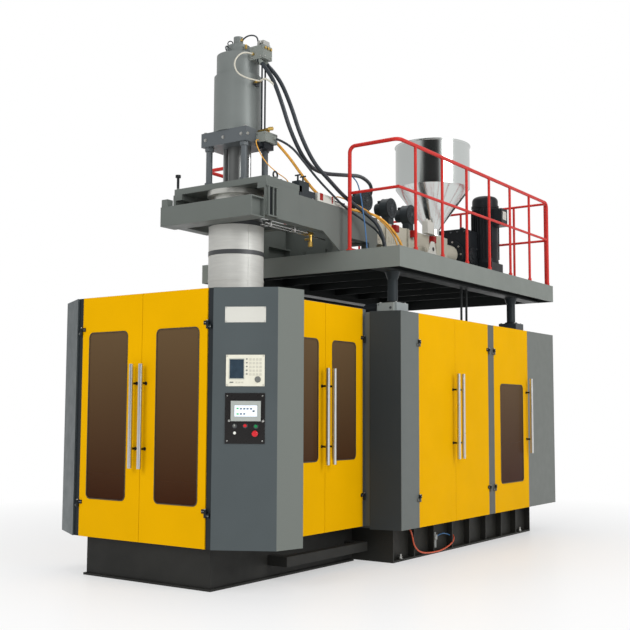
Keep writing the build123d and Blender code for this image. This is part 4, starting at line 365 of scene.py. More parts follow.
hose_rubber = rubber("hose_rubber", rgb(38, 44, 50), 0.42)
cable_orange = rubber("cable_orange", rgb(232, 168, 62), 0.45)
gasket_rubber = rubber("gasket_rubber", rgb(64, 52, 38), 0.6)
seal_rubber = rubber("seal_rubber", rgb(22, 23, 24), 0.6)
pale_hose = rubber("pale_hose", rgb(196, 192, 178), 0.5)
blue_hose = rubber("blue_hose", rgb(58, 104, 150), 0.45)
air_hose = rubber("air_hose", rgb(206, 86, 52), 0.45)
instrument_white = plastic("instrument_white", rgb(226, 223, 206), 0.4)
instrument_black = plastic("instrument_black", rgb(20, 17, 17), 0.3)
instrument_grey = plastic("instrument_grey", rgb(168, 173, 168), 0.4)
key_grey = plastic("key_grey", rgb(110, 112, 108), 0.45)
key_cream = plastic("key_cream", rgb(205, 202, 186), 0.45)
red_plastic = plastic("red_plastic", rgb(205, 32, 42), 0.25)
green_plastic = plastic("green_plastic", rgb(16, 130, 72), 0.25)
lamp_white = plastic("lamp_white", rgb(236, 236, 228), 0.3)
tile_green = plastic("tile_green", rgb(70, 190, 110), 0.3)
tile_grey = plastic("tile_grey", rgb(96, 112, 132), 0.3)

PANE_LIGHT_SPAN = (0.75, 2.25)
tinted = Finish("pane", rgb(62, 34, 18), 0.2).mottle(0.1, 1.2, (1, 1, 0.5))
# Painted light: the pane is painted lighter towards the top
tinted.over(tinted.spread(tinted.axis("Z"), 0, 1, *PANE_LIGHT_SPAN), rgb(100, 80, 56))
pane = tinted.worn(0.04, 3.0).set(Alpha=0.92, Specular_IOR_Level=0.03).material
lit = Finish("display_lit", rgb(226, 234, 240), 0.2).mottle(0.06, 14.0).worn(0.03, 30.0)
display_lit = lit.set(Emission_Color=rgb(214, 228, 240), Emission_Strength=0.35).material
screen_glass = Finish("screen_glass", rgb(52, 66, 78), 0.08).mottle(0.35, 9.0).worn(0.03, 30.0).material


# The part's own solids take their finishes
FINISHES = {
    door_paint: ["front_left_door", "front_right_door", "side_door_front", "side_door_rear",
                 "cabinet_door_front", "cabinet_door_middle", "cabinet_door_rear"],
    column_paint: ["left_column", "control_column"],
    body_paint: ["cabinet_frame"],
    frame_paint: ["enclosure_frame"],
    base_paint: ["front_base"],
    rear_base_paint: ["rear_base"],
    arm_paint: ["arm_frame"],
    head_plate_paint: ["head_plate"],
    deck_paint: ["platform"],
    head_paint: ["cylinder_stand"],
    cylinder_paint: ["ram_cylinder"],
    block_paint: ["hydraulic_blocks"],
    dark_paint: ["lift_columns", "blowers", "hydraulic_unit"],
    black_paint: ["gearbox", "motor", "clamp_cylinders"],
    rail_paint: ["guard_rail"],
    sleeve_paint: ["lift_sleeves"],
    jacket_sheet: ["extruder_barrel"],
    cover_sheet: ["heater_cover"],
    head_steel: ["accumulator_head"],
    hopper_steel: ["hopper"],
    machined: ["front_platen", "rear_platen", "blow_pin", "die_core", "ram", "screw"],
    instrument_white: ["parison_controller"],
    instrument_black: ["control_panel"],
    red_plastic: ["red_button", "emergency_stop"],
    green_plastic: ["green_button"],
    key_grey: ["selector"],
}


def give(node, material):
    """Assign a material to every slot of a CAD node."""
    for slot in nodes[node].material_slots:
        slot.material = material


for material, names in FINISHES.items():
    for name in names:
        give(name, material)
for name in nodes:
    if name.endswith("_handle"):
        give(name, handle_steel)
    if name.endswith("_pane"):
        give(name, pane)

# One node holds the enclosure's far side in yellow, and the cabinet's corner, tail and far side in grey; the
# corner's dark grey and the darker front of the cabinet's side are painted shade
FAR_SIDE_X = (-0.932, -0.895)
PANEL_BACK = 0.955
SHADED_CORNER_BACK = 1.4
SHEET_DEPTH = 0.004
FAR = 10
panels = Finish("panel_paint", rgb(107, 111, 107), 0.4).eased(0.003).peel()
# Painted shade: dark grey on the cabinet's front corner, and a little darker grey on the front of its side
panels.zone(rgb(50, 54, 55), Y=(-FAR, SHADED_CORNER_BACK))
panels.zone(rgb(100, 105, 103), X=(CABINET_X - SHEET_DEPTH, FAR), Y=(-FAR, SHADED_CORNER_BACK))
panels.zone(YELLOW, X=FAR_SIDE_X, Y=(-FAR, PANEL_BACK))
give("fixed_panels", panels.satin())


# Hoses and cables, in metres; those that stand for a CAD solid follow its route
def cord(name, node, radius, material, points, body="platform"):
    """A free hose on a smooth curve; with a node, it stands for the CAD solid of that name."""
    curve = bpy.data.curves.new(name, "CURVE")
    curve.dimensions = "3D"
    line = curve.splines.new("NURBS")
    line.points.add(len(points) - 1)
    for point, place in zip(line.points, points):
        point.co = (*place, 1)
    line.order_u = 3
    line.use_endpoint_u = True
    line.resolution_u = 10
    curve.bevel_depth = radius
    curve.bevel_resolution = 5
    curve.use_fill_caps = True
    piece = bpy.data.objects.new(name, curve)
    bpy.context.scene.collection.objects.link(piece)
    curve.materials.append(material)
    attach(piece, body)
    if node:
        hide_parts(node)


HOSE_RADIUS = 0.021
cord("supply_hose", "ram_supply_hose", HOSE_RADIUS, hose_rubber, [
    (0.345, -0.04, 5.06), (0.45, -0.02, 4.93), (0.56, 0, 4.65), (0.61, 0.09, 4.35),
    (0.61, 0.33, 4.1), (0.54, 0.7, 4.04), (0.6, 1.15, 4.1), (0.52, 1.6, 4.19),
    (0.4, 2.05, 4.14), (0.06, 2.3, 3.95), (0, 2.45, 3.62), (0, 2.47, 3.296),
])
cord("return_hose", "ram_return_hose", HOSE_RADIUS, hose_rubber, [
    (0.35, 0.045, 5.06), (0.48, 0.055, 4.93), (0.62, 0.08, 4.62), (0.69, 0.15, 4.31),
    (0.7, 0.38, 4.06), (0.69, 0.64, 3.96), (0.645, 1.04, 3.83), (0.74, 1.29, 3.7),
    (0.86, 1.46, 3.54), (0.88, 1.5, 3.3),
])
cord("servo_line", "servo_hose", 0.012, hose_rubber, [
    (0.438, 0.09, 4.29), (0.56, 0.15, 4.235), (0.65, 0.3, 4.05), (0.655, 0.53, 3.92),
    (0.645, 0.81, 3.815), (0.64, 1.06, 3.72), (0.72, 1.33, 3.61), (0.82, 1.53, 3.48),
    (0.84, 1.58, 3.296),
])
cord("heater_line", "heater_cable", 0.015, cable_orange, [
    (0.37, 0.16, 4.29), (0.42, 0.3, 4.18), (0.5, 0.46, 3.97), (0.555, 0.66, 3.8),
    (0.56, 0.93, 3.752), (0.555, 1.23, 3.746), (0.575, 1.5, 3.758), (0.65, 1.73, 3.738),
    (0.72, 1.92, 3.61), (0.77, 2.05, 3.45), (0.79, 2.09, 3.296),
])
cord("plug_hose", None, 0.008, hose_rubber, [
    (0.066, -0.012, 5.372), (0.105, -0.012, 5.398), (0.18, -0.01, 5.402), (0.24, -0.004, 5.378),
    (0.262, 0, 5.33), (0.262, 0, 5.268),
])
cord("pilot_hose", None, 0.008, pale_hose, [
    (0.262, -0.098, 5.16), (0.24, -0.18, 5.162), (0.19, -0.24, 5.115), (0.165, -0.27, 5.03),
    (0.19, -0.255, 4.935), (0.255, -0.2, 4.885), (0.315, -0.13, 4.868), (0.346, -0.07, 4.868),
])
cord("drain_hose", None, 0.01, pale_hose, [
    (0.352, -0.067, 4.868), (0.395, -0.075, 4.884), (0.44, -0.06, 4.866), (0.48, -0.03, 4.825),
    (0.503, -0.012, 4.795),
])
cord("signal_cable", None, 0.005, cable_orange, [
    (0.33, -0.062, 4.262), (0.335, -0.12, 4.258), (0.375, -0.15, 4.17), (0.43, -0.09, 4.02),
    (0.47, 0.06, 3.93), (0.49, 0.2, 3.89), (0.495, 0.25, 3.83), (0.495, 0.25, 3.727),
])
cord("sensor_cable", None, 0.007, cable_orange, [
    (0.56, 0.955, 3.772), (0.56, 0.965, 3.84), (0.566, 1.11, 3.85), (0.59, 1.38, 3.815),
    (0.64, 1.66, 3.735), (0.715, 1.88, 3.6), (0.76, 1.99, 3.42), (0.765, 2.01, 3.248),
])
cord("cooling_hose", None, 0.007, blue_hose, [
    (0.562, 1.3, 4.128), (0.64, 1.29, 4.07), (0.72, 1.24, 3.9), (0.79, 1.19, 3.66),
    (0.86, 1.13, 3.42), (0.885, 1.11, 3.249),
])
cord("air_hose", None, 0.008, air_hose, [
    (1.14, 1.44, 0.33), (1.195, 1.45, 0.325), (1.215, 1.47, 0.25), (1.22, 1.5, 0.13),
    (1.22, 1.64, 0.045), (1.22, 1.9, 0.02), (1.215, 2.16, 0.022), (1.2, 2.42, 0.07),
    (1.17, 2.52, 0.13), (1.134, 2.53, 0.15),
], "base")
cord("air_return_hose", None, 0.006, blue_hose, [
    (1.152, 2.11, 0.16), (1.16, 2.19, 0.19), (1.17, 2.3, 0.185), (1.175, 2.42, 0.15),
    (1.16, 2.5, 0.115), (1.134, 2.52, 0.105),
], "base")


# Building small pieces
OUT = (0, 0, 1)
RIGHT, FORWARD, BACKWARD = Vector((1, 0, 0)), Vector((0, -1, 0)), Vector((0, 1, 0))


def grid(*axes):
    """Every place whose coordinates are among these; an axis is a number or several."""
    return product(*(axis if isinstance(axis, tuple) else (axis,) for axis in axes))


def circle(count, radius, start=0.0):
    """Pairs round a circle, the first at the angle start."""
    angles = [start + 2 * math.pi * n / count for n in range(count)]
    return [(radius * math.cos(angle), radius * math.sin(angle)) for angle in angles]


class Piece:
    """One mesh made of several small forms, in its own frame if given one, which rides on a body."""

    def __init__(self, place=None):
        self.mesh = bmesh.new()
        self.place = place

    def block(self, low, high, turn=None):
        """A box between two corners; turn is a matrix from the piece's own frame."""
        corners = [Vector(corner) for corner in product(*zip(low, high))]
        made = [self.mesh.verts.new(turn @ corner if turn else corner) for corner in corners]
        for face in ((0, 1, 3, 2), (4, 6, 7, 5), (0, 4, 5, 1), (2, 3, 7, 6), (0, 2, 6, 4), (1, 5, 7, 3)):
            self.mesh.faces.new([made[n] for n in face])

    def lathe(self, start, axis, outline, sides=24):
        """A form turned about an axis; the outline is (radius, height) pairs from start."""
        axis = Vector(axis).normalized()
        across = axis.orthogonal().normalized()
        other = axis.cross(across)
        rings = []
        for radius, height in outline:
            middle = Vector(start) + axis * height
            spots = circle(sides, radius) if radius > 1e-6 else [(0, 0)]
            rings.append([self.mesh.verts.new(middle + across * a + other * b) for a, b in spots])
        for lower, upper in zip(rings, rings[1:]):
            for n in range(sides):
                after = (n + 1) % sides
                corners = [lower[n % len(lower)], lower[after % len(lower)],
                           upper[after % len(upper)], upper[n % len(upper)]]
                unique = list(dict.fromkeys(corners))
                if len(unique) > 2:
                    self.mesh.faces.new(unique)
        for ring in (rings[0], rings[-1]):
            if len(ring) > 2:
                self.mesh.faces.new(ring)

    def rod(self, start, end, radius, sides=20):
        """A round bar with eased ends."""
        start, end = Vector(start), Vector(end)
        length = (end - start).length
        cut = min(radius * 0.12, length / 4)
        self.lathe(start, end - start, [(radius - cut, 0), (radius, cut), (radius, length - cut),
                                        (radius - cut, length)], sides)

    def hex_bolt(self, place, axis, size, height=None):
        """A hexagon head on a washer; size is the radius over its corners."""
        height = height or size * 0.75
        self.lathe(place, axis, [(size * 1.18, 0), (size * 1.18, size * 0.14)], 20)
        start = Vector(place) + Vector(axis).normalized() * size * 0.14
        self.lathe(start, axis, [(size, 0), (size, height * 0.88), (size * 0.86, height)], 6)

    def socket_screw(self, place, axis, radius):
        """A cap screw with a recess in its head."""
        profile = ((1, 0), (1, 0.9), (0.86, 1), (0.5, 1), (0.42, 0.55), (0, 0.55))
        self.lathe(place, axis, [(radius * across, radius * height) for across, height in profile], 16)

    def blocks(self, *pairs):
        """A box for each pair of corners."""
        for low, high in pairs:
            self.block(low, high)
        return self

    def rods(self, *bars, sides=20):
        """A round bar for each start, end and radius."""
        for start, end, radius in bars:
            self.rod(start, end, radius, sides)
        return self

    def bolts(self, places, axis, size):
        for place in places:
            self.hex_bolt(place, axis, size)
        return self

    def screws(self, places, axis, radius):
        for place in places:
            self.socket_screw(place, axis, radius)
        return self

    def skin(self, loops):
        """Faces from each loop of points to the next, and from the last to the first."""
        made = [[self.mesh.verts.new(point) for point in loop] for loop in loops]
        for first, second in zip(made, made[1:] + made[:1]):
            for n in range(len(first)):
                after = (n + 1) % len(first)
                self.mesh.faces.new([first[n], first[after], second[after], second[n]])

    def ring(self, middle, axis, radius, bar, sides=24, section=10):
        """A round bar bent into a ring."""
        axis = Vector(axis).normalized()
        across = axis.orthogonal().normalized()
        other = axis.cross(across)
        loops = []
        for a, b in circle(sides, 1):
            out = across * a + other * b
            loops.append([Vector(middle) + out * (radius + c) + axis * d for c, d in circle(section, bar)])
        self.skin(loops)

    def prism(self, outline, depth):
        """A flat form of this outline, from z 0 to the depth."""
        near = [self.mesh.verts.new((x, y, depth)) for x, y in outline]
        far = [self.mesh.verts.new((x, y, 0)) for x, y in outline]
        self.mesh.faces.new(near)
        self.mesh.faces.new(far[::-1])
        for n in range(len(outline)):
            after = (n + 1) % len(outline)
            self.mesh.faces.new([far[n], far[after], near[after], near[n]])

    def spokes(self, middle, first, second, count, reach, radius):
        """Bars through a middle, in the plane of two directions."""
        for n in range(count):
            angle = math.pi * n / count
            arm = (first * math.cos(angle) + second * math.sin(angle)) * reach
            self.rod(middle - arm, middle + arm, radius, 6)

    def finish(self, name, material, ease=0.0012, body="platform"):
        """Make the object, ease its edges and let it ride on a body."""
        if self.place:
            self.mesh.transform(self.place)
        bmesh.ops.recalc_face_normals(self.mesh, faces=self.mesh.faces)
        data = bpy.data.meshes.new(name)
        self.mesh.to_mesh(data)
        self.mesh.free()
        data.polygons.foreach_set("use_smooth", [True] * len(data.polygons))
        data.set_sharp_from_angle(angle=math.radians(32))
        piece = bpy.data.objects.new(name, data)
        bpy.context.scene.collection.objects.link(piece)
        data.materials.append(material)
        if ease:
            bevel = piece.modifiers.new("ease", "BEVEL")
            bevel.width = ease
            bevel.segments = 2
            bevel.limit_method = "ANGLE"
            bevel.angle_limit = math.radians(40)
            bevel.harden_normals = True
        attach(piece, body)


# Frames of the doors and the control face: x across, y up, z out of the face
def face_frame(origin, across):
    """A frame on an upright face; across points right as seen from outside."""
    across = Vector(across).normalized()
    frame_matrix = Matrix((across, UP, across.cross(UP))).transposed().to_4x4()
    frame_matrix.translation = Vector(origin)
    return frame_matrix


ENCLOSURE_BOTTOM, ENCLOSURE_HEIGHT = 0.366, 2.234
CABINET_BOTTOM, CABINET_HEIGHT = 0.342, 2.229
DECK = 3.246
LEFT_HINGES, RIGHT_HINGES = True, False

# Name, left edge, width, hinge side and window (left, bottom, width, height) of each door
FRONT_DOORS = [
    ("front_left_door", -0.78, 0.778, LEFT_HINGES, (0.095, 0.356, 0.5, 1.54)),
    ("front_right_door", 0.002, 0.778, RIGHT_HINGES, (0.183, 0.356, 0.5, 1.54)),
]
SIDE_DOORS = [
    ("side_door_front", -0.425, 0.686, LEFT_HINGES, (0.139, 0.69, 0.425, 1.18)),
    ("side_door_rear", 0.265, 0.686, RIGHT_HINGES, (0.122, 0.69, 0.425, 1.18)),
]
CABINET_DOORS = [
    ("cabinet_door_front", 1.388, 0.825, LEFT_HINGES, None),
    ("cabinet_door_middle", 2.217, 0.849, RIGHT_HINGES, None),
    ("cabinet_door_rear", 3.227, 1.005, LEFT_HINGES, (0.175, 0.338, 0.663, 1.191)),
]
HANDLE_LEVEL = 1.488
STANDOFF = 0.293
HANDLE_FROM_SEAM = 0.056
HINGE_EDGE, STRAP_FACE = 0.01, 0.008
HINGE_LEVELS = (0.3, -0.32)


def rounded_outline(left, bottom, width, height, corner, steps=6):
    """Points round a rectangle with round corners."""
    points = []
    for number, (x, y) in enumerate(((left + width, bottom + height), (left, bottom + height),
                                     (left, bottom), (left + width, bottom))):
        middle = (x - math.copysign(corner, x - left - width / 2),
                  y - math.copysign(corner, y - bottom - height / 2))
        for step in range(steps + 1):
            angle = math.pi / 2 * (number + step / steps)
            points.append((middle[0] + corner * math.cos(angle), middle[1] + corner * math.sin(angle)))
    return points


GASKET_LAP = 0.006
GASKET_RISE = 0.004
GASKET_ROOT = -0.002
WINDOW_CORNER = 0.045


def gasket(piece, window):
    """The rubber seal round a pane, on the door's outer face."""
    left, bottom, width, height = window
    loops = []
    for edge, z in ((GASKET_LAP, 0.0), (GASKET_LAP, GASKET_RISE), (-GASKET_RISE, GASKET_RISE),
                    (-GASKET_RISE, GASKET_ROOT)):
        outline = rounded_outline(left - edge, bottom - edge, width + 2 * edge, height + 2 * edge,
                                  WINDOW_CORNER + edge)
        loops.append([(x, y, z) for x, y in outline])
    piece.skin(loops)


def dress_door(name, place, width, height, bottom, hinge_left, window):
    """Seal, strap screws and handle collars of a door, and the screws of its fixed hinge halves."""
    if window:
        seal = Piece(place)
        gasket(seal, window)
        seal.finish(name + "_seal", gasket_rubber, 0, name)
    edge = -HINGE_EDGE if hinge_left else width + HINGE_EDGE
    inward = 1 if hinge_left else -1
    screws = Piece(place)
    fixed = Piece(place)
    for level in HINGE_LEVELS:
        y = level if level > 0 else height + level
        for reach in (0.022, 0.038):
            screws.socket_screw((edge + inward * reach, y + 0.018, STRAP_FACE), (0, 0, 1), 0.0045)
            fixed.socket_screw((edge - inward * (reach - 0.006), y - 0.018, STRAP_FACE), (0, 0, 1), 0.0045)
        screws.lathe((edge, y + 0.035, 0.014), (0, 1, 0), [(0.011, 0), (0.011, 0.003), (0.008, 0.006)], 16)
    screws.finish(name + "_screws", zinc, 0, name)
    fixed.finish(name + "_fixed_screws", zinc, 0, "base")
    handle_x = width - HANDLE_FROM_SEAM if hinge_left else HANDLE_FROM_SEAM
    collars = Piece(place)
    for side in (-1, 1):
        collars.lathe((handle_x, HANDLE_LEVEL - bottom + side * STANDOFF, 0), (0, 0, 1),
                      [(0.0165, 0), (0.0165, 0.004), (0.0135, 0.0065), (0.0104, 0.0065)], 24)
    collars.finish(name + "_collars", black_paint, 0, name)


for doors, bottom, height, corner, across in (
    (FRONT_DOORS, ENCLOSURE_BOTTOM, ENCLOSURE_HEIGHT, Vector((0, FRONT, 0)), RIGHT),
    (SIDE_DOORS, ENCLOSURE_BOTTOM, ENCLOSURE_HEIGHT, Vector((SIDE_X, 0, 0)), BACKWARD),
    (CABINET_DOORS, CABINET_BOTTOM, CABINET_HEIGHT, Vector((CABINET_X, 0, 0)), BACKWARD),
):
    for name, left, width, hinge_left, window in doors:
        place = face_frame(corner + across * left + UP * bottom, across)
        dress_door(name, place, width, height, bottom, hinge_left, window)


# Control face: bare name plate, controller keys and screens, the operator screen and small fittings
CONTROL_FACE = face_frame((0.851, -1.335, 0), (0.487, 0.278, 0))
PLATE_RISE = 0.006
SCREEN_RISE = 0.02
DISPLAY_RISE = 0.018
KEY_STEP = 0.032


def on_face(name, material, pairs, ease=0.0008, body="base"):
    """Flat boxes on the control face."""
    Piece(CONTROL_FACE).blocks(*pairs).finish(name, material, ease, body)


def bezel(name, outer, inner, low, high):
    """Four strips round a screen; outer and inner are left, bottom, right and top."""
    left, bottom, right, top = outer
    inner_left, inner_bottom, inner_right, inner_top = inner
    strips = ((left, bottom, inner_left, top), (inner_right, bottom, right, top),
              (inner_left, bottom, inner_right, inner_bottom), (inner_left, inner_top, inner_right, top))
    on_face(name, instrument_grey, [((a, b, low), (c, d, high)) for a, b, c, d in strips])


on_face("name_plate", pale_paint, [((0.103, 2.295, 0), (0.458, 2.43, 0.002))])
rivets = Piece(CONTROL_FACE)
for place in grid((0.112, 0.449), (2.304, 2.421), 0.002):
    rivets.lathe(place, OUT, [(0.0045, 0), (0.0035, 0.002), (0, 0.0026)], 14)
rivets.screws(grid((0.133, 0.435), (1.284, 1.666), PLATE_RISE), OUT, 0.006)
for x, z in ((0.15, 1.455), (0.438, 1.452)):
    rivets.lathe((x, z, PLATE_RISE), OUT, [(0.01, 0), (0.01, 0.004), (0.006, 0.007), (0, 0.008)], 18)
rivets.screws(grid((0.128, 0.44), (1.758, 2.006), PLATE_RISE), OUT, 0.005)
rivets.finish("panel_screws", zinc, 0, "base")

on_face("controller_glass", screen_glass, [((0.15, 1.815, 0.003), (0.27, 1.977, 0.0042))], 0.0005)
bezel("controller_bezel", (0.144, 1.808, 0.276, 1.984), (0.1495, 1.814, 0.2705, 1.978),
      PLATE_RISE, PLATE_RISE + 0.003)
keys = [((0.15, 1.776, PLATE_RISE), (0.182, 1.786, PLATE_RISE + 0.002))]
for n in range(5):
    z = 1.975 - KEY_STEP * n
    keys.append(((0.29, z, PLATE_RISE), (0.304, z + 0.01, PLATE_RISE + 0.003)))
on_face("controller_keys", key_grey, keys)
pale_keys = []
for row, column in product(range(5), range(4)):
    x, z = 0.318 + 0.029 * column, 1.966 - KEY_STEP * row
    pale_keys.append(((x, z, PLATE_RISE), (x + 0.021, z + 0.021, PLATE_RISE + 0.002)))
for column in range(3):
    x = 0.2 + 0.026 * column
    pale_keys.append(((x, 1.774, PLATE_RISE), (x + 0.017, 1.787, PLATE_RISE + 0.002)))
on_face("controller_key_field", key_cream, pale_keys)
PAD_X, PAD_Z = 0.393, 1.806
pad = Piece(CONTROL_FACE)
pad.lathe((PAD_X, PAD_Z, PLATE_RISE + 0.003), OUT,
          [(0.027, 0), (0.027, 0.003), (0.024, 0.005), (0.012, 0.005), (0.01, 0.0035), (0, 0.0035)], 32)
for x, z in circle(4, 0.018):
    pad.lathe((PAD_X + x, PAD_Z + z, PLATE_RISE + 0.008), OUT, [(0.004, 0), (0.003, 0.0015), (0, 0.002)], 12)
pad.finish("controller_pad", key_grey, 0.0005, "base")

on_face("operator_display", display_lit, [((0.1955, 1.4895, 0.017), (0.3925, 1.5865, DISPLAY_RISE))], 0)
for name, material, tiles in (
    ("display_tiles", tile_green, ((0.215, 1.552), (0.215, 1.505))),
    ("display_icons", tile_grey, ((0.243, 1.55), (0.272, 1.55), (0.3, 1.55), (0.33, 1.55),
                                  (0.243, 1.506), (0.272, 1.506))),
    ("display_key", screen_glass, ((0.352, 1.53),)),
):
    on_face(name, material, [((x, z, DISPLAY_RISE), (x + 0.018, z + 0.013, 0.0186)) for x, z in tiles], 0)
bezel("operator_bezel", (0.165, 1.451, 0.423, 1.623), (0.194, 1.488, 0.394, 1.588),
      SCREEN_RISE, SCREEN_RISE + 0.002)
rims = Piece(CONTROL_FACE)
for x, z in ((0.197, 1.412), (0.288, 1.413), (0.38, 1.409)):
    rims.lathe((x, z, PLATE_RISE), OUT,
               [(0.0215, 0), (0.0215, 0.003), (0.018, 0.0045), (0.0148, 0.0045), (0.0148, 0)], 28)
rims.lathe((0.375, 1.346, PLATE_RISE), OUT, [(0.024, 0), (0.024, 0.003), (0.0148, 0.003), (0.0148, 0)], 28)
rims.finish("button_rims", dark_steel, 0, "base")
indicator = Piece(CONTROL_FACE)
indicator.lathe((0.198, 1.351, PLATE_RISE), OUT, [(0.013, 0), (0.013, 0.005), (0.01, 0.01), (0, 0.012)])
indicator.finish("white_lamp", lamp_white, 0, "base")
on_face("selector_mark", lamp_white, [((0.1955, 1.412, 0.024), (0.1985, 1.425, 0.0252))], 0, "selector")


# Cylinder: bolts, lifting rings, brass fittings and the valves
SHOULDER, CAP_TOP = 5.199, 5.307
cap_bolts = Piece()
cap_bolts.screws([(x, y, SHOULDER) for x, y in circle(12, 0.175)], UP, 0.013)
cap_bolts.screws([(x, y, CAP_TOP) for x, y in circle(6, 0.088, math.pi / 6)], UP, 0.01)
cap_bolts.finish("cylinder_bolts", dark_steel, 0)
plate_bolts = Piece()
plate_bolts.bolts(grid((-0.235, 0.0, 0.235), -0.227, 4.305), FORWARD, 0.015)
plate_bolts.bolts(grid((-0.262, 0.262), (-0.195, 0.195), 4.38), UP, 0.018)
plate_bolts.bolts(grid(0.293, (-0.2, 0.19), 4.305), RIGHT, 0.015)
plate_bolts.finish("plate_bolts", zinc, 0.0006)
lifting = Piece()
for place, axis in (((-0.072, -0.045, CAP_TOP), (0.5, -0.87, 0)),
                    ((0.0, -0.18, SHOULDER), RIGHT), ((0.0, 0.18, SHOULDER), RIGHT)):
    lifting.lathe(place, UP, [(0.022, 0), (0.022, 0.008), (0.009, 0.016), (0.009, 0.022)], 16)
    lifting.ring(Vector(place) + UP * 0.045, axis, 0.026, 0.006)
lifting.finish("lifting_rings", dark_steel, 0)

fittings = [
    ((0.044, -0.012, 5.372), (0.07, -0.012, 5.372), 0.014),
    ((0.262, 0.0, 5.245), (0.262, 0.0, 5.268), 0.013),
    ((0.15, -0.06, 5.29), (0.15, -0.06, 5.245), 0.012),
    ((0.262, -0.075, 5.16), (0.262, -0.098, 5.16), 0.015),
    ((0.246, -0.03, 4.88), (0.3, -0.06, 4.87), 0.018),
    ((0.3, -0.06, 4.87), (0.352, -0.068, 4.868), 0.013),
    ((0.293, -0.02, 4.365), (0.42, -0.02, 4.372), 0.013),
    ((0.42, -0.02, 4.372), (0.47, -0.01, 4.37), 0.019),
]
fittings += [((0.385, y, 5.215), (0.402, y, 5.215), 0.014) for y in (-0.045, 0.0, 0.045)]
fittings += [((x, 0.01, 4.345), (x, 0.01, 4.372), 0.012) for x in (0.325, 0.375, 0.4)]
Piece().rods(*fittings, sides=6).finish("brass_fittings", brass, 0)
Piece().blocks(
    ((0.242, -0.03, 4.845), (0.262, 0.03, 4.905)),
    ((0.246, -0.062, 4.852), (0.33, -0.042, 4.86)),
).finish("fitting_bracket", dark_steel)

manifold_trim = Piece()
manifold_trim.screws(grid(0.385, (-0.05, 0.05), (5.13, 5.22)), RIGHT, 0.009)
manifold_trim.screws(grid((0.245, 0.36), -0.075, (5.125, 5.225)), FORWARD, 0.009)
manifold_trim.finish("manifold_screws", zinc, 0)
valve = Piece().blocks(((0.3, -0.05, 5.245), (0.372, 0.05, 5.3)))
valve.rods(*(((0.336, side * 0.05, 5.272), (0.336, side * 0.085, 5.272), 0.02) for side in (-1, 1)))
valve.finish("pilot_valve", zinc)
servo = Piece().blocks(
    ((0.305, -0.05, 4.172), (0.395, 0.05, 4.24)),
    ((0.315, 0.05, 4.18), (0.385, 0.115, 4.235)),
)
servo.rod((0.35, -0.05, 4.206), (0.35, -0.11, 4.206), 0.027)
servo.finish("servo_valve", black_paint)
servo_screws = Piece()
servo_screws.screws(grid(0.413, (-0.045, 0.125), (4.255, 4.33)), RIGHT, 0.008)
servo_screws.screws(grid((0.31, 0.4), -0.06, 4.325), FORWARD, 0.008)
servo_screws.finish("servo_screws", zinc, 0)


# Head and arm: end posts, cross plates, the feed pipe, valve block, terminals and the cover's seam screws
ARM_TOP = 3.725
POST_BOTTOM, POST_TOP = 3.434, 3.71
posts = Piece().blocks(
    *(((0.59, y - 0.008, 3.432), (0.636, y + 0.008, 3.712)) for y in (-0.275, -0.205, -0.15)),
    ((0.6, -0.29, POST_BOTTOM - 0.014), (0.64, -0.13, POST_BOTTOM)),
    ((0.6, -0.29, POST_TOP), (0.64, -0.13, POST_TOP + 0.014)),
)
posts.finish("arm_end_posts", arm_paint, 0.001)
# Painted shade: a black sheet between the end posts stands for the shade inside the arm's end
shade_sheet = Piece().blocks(((0.6125, -0.283, POST_BOTTOM), (0.616, -0.135, POST_TOP)))
shade_sheet.finish("arm_end_shade_sheet", black_paint, 0)
arm_bolts = Piece().bolts(grid((-0.57, 0.57), (1.069, 1.149), 3.44), UP, 0.014)
arm_bolts.finish("arm_bolts", dark_steel, 0.0005)
SHEET = 0.014
bracket = Piece(face_frame((-0.594, 0.99, DECK), BACKWARD))
bracket.prism([(0, 0), (1.45, 0), (0.8, 0.438), (0.8, 0.174), (0, 0.174)], SHEET)
bracket.finish("arm_cross_bracket", arm_paint, 0.001)

# The cross plate stands behind the arm's open gap, which ends at y 1.63, and beside the first jacket
CROSS_Y, SHORT_CROSS_Y = 1.636, 1.31
CROSS_DEPTH = 0.012
plates = Piece().blocks(
    ((-0.578, CROSS_Y, DECK), (0.21, CROSS_Y + CROSS_DEPTH, 3.7)),
    ((0.236, SHORT_CROSS_Y, DECK), (0.536, SHORT_CROSS_Y + CROSS_DEPTH, 3.49)),
)
for x, y in ((-0.3, CROSS_Y), (0.02, CROSS_Y), (0.34, SHORT_CROSS_Y)):
    plates.block((x, y - 0.07, DECK), (x + CROSS_DEPTH, y, 3.4))
plates.finish("arm_cross_plate", arm_paint, 0.001)

SEAM = math.radians(-22)
COVER_RADIUS = 0.2826
seam_screws = Piece()
for n, offset in product(range(17), (-0.036, 0.036)):
    out = Vector((math.cos(SEAM + offset), math.sin(SEAM + offset), 0))
    start = out * COVER_RADIUS + UP * (2.46 + n * 0.058)
    seam_screws.lathe(start, out, [(0.005, 0), (0.004, 0.002), (0, 0.003)], 10)
seam_screws.finish("cover_screws", dark_steel, 0)

feed = Piece().rods(((0.5, -0.17, 3.385), (0.5, 0.56, 3.385), 0.011),
                    ((0.455, -0.17, 3.372), (0.455, 0.94, 3.372), 0.011))
feed.rod((0.5, 0.56, 3.385), (0.5, 0.6, 3.385), 0.019, 6)
feed.blocks(*(((0.44, y, 3.36), (0.52, y + 0.018, 3.42)) for y in (-0.1, 0.3)))
feed.finish("arm_pipes", steel, 0)
drain = Piece().rods(((0.5, 0.61, 3.3), (0.5, 0.61, 3.372), 0.016),
                     ((0.43, 0.61, 3.33), (0.5, 0.61, 3.33), 0.012))
drain.rods(((0.5, 0.61, 3.246), (0.5, 0.61, 3.3), 0.026),
           ((0.5, 0.56, 3.385), (0.5, 0.64, 3.385), 0.022), sides=6)
drain.finish("drain_fitting", brass, 0)

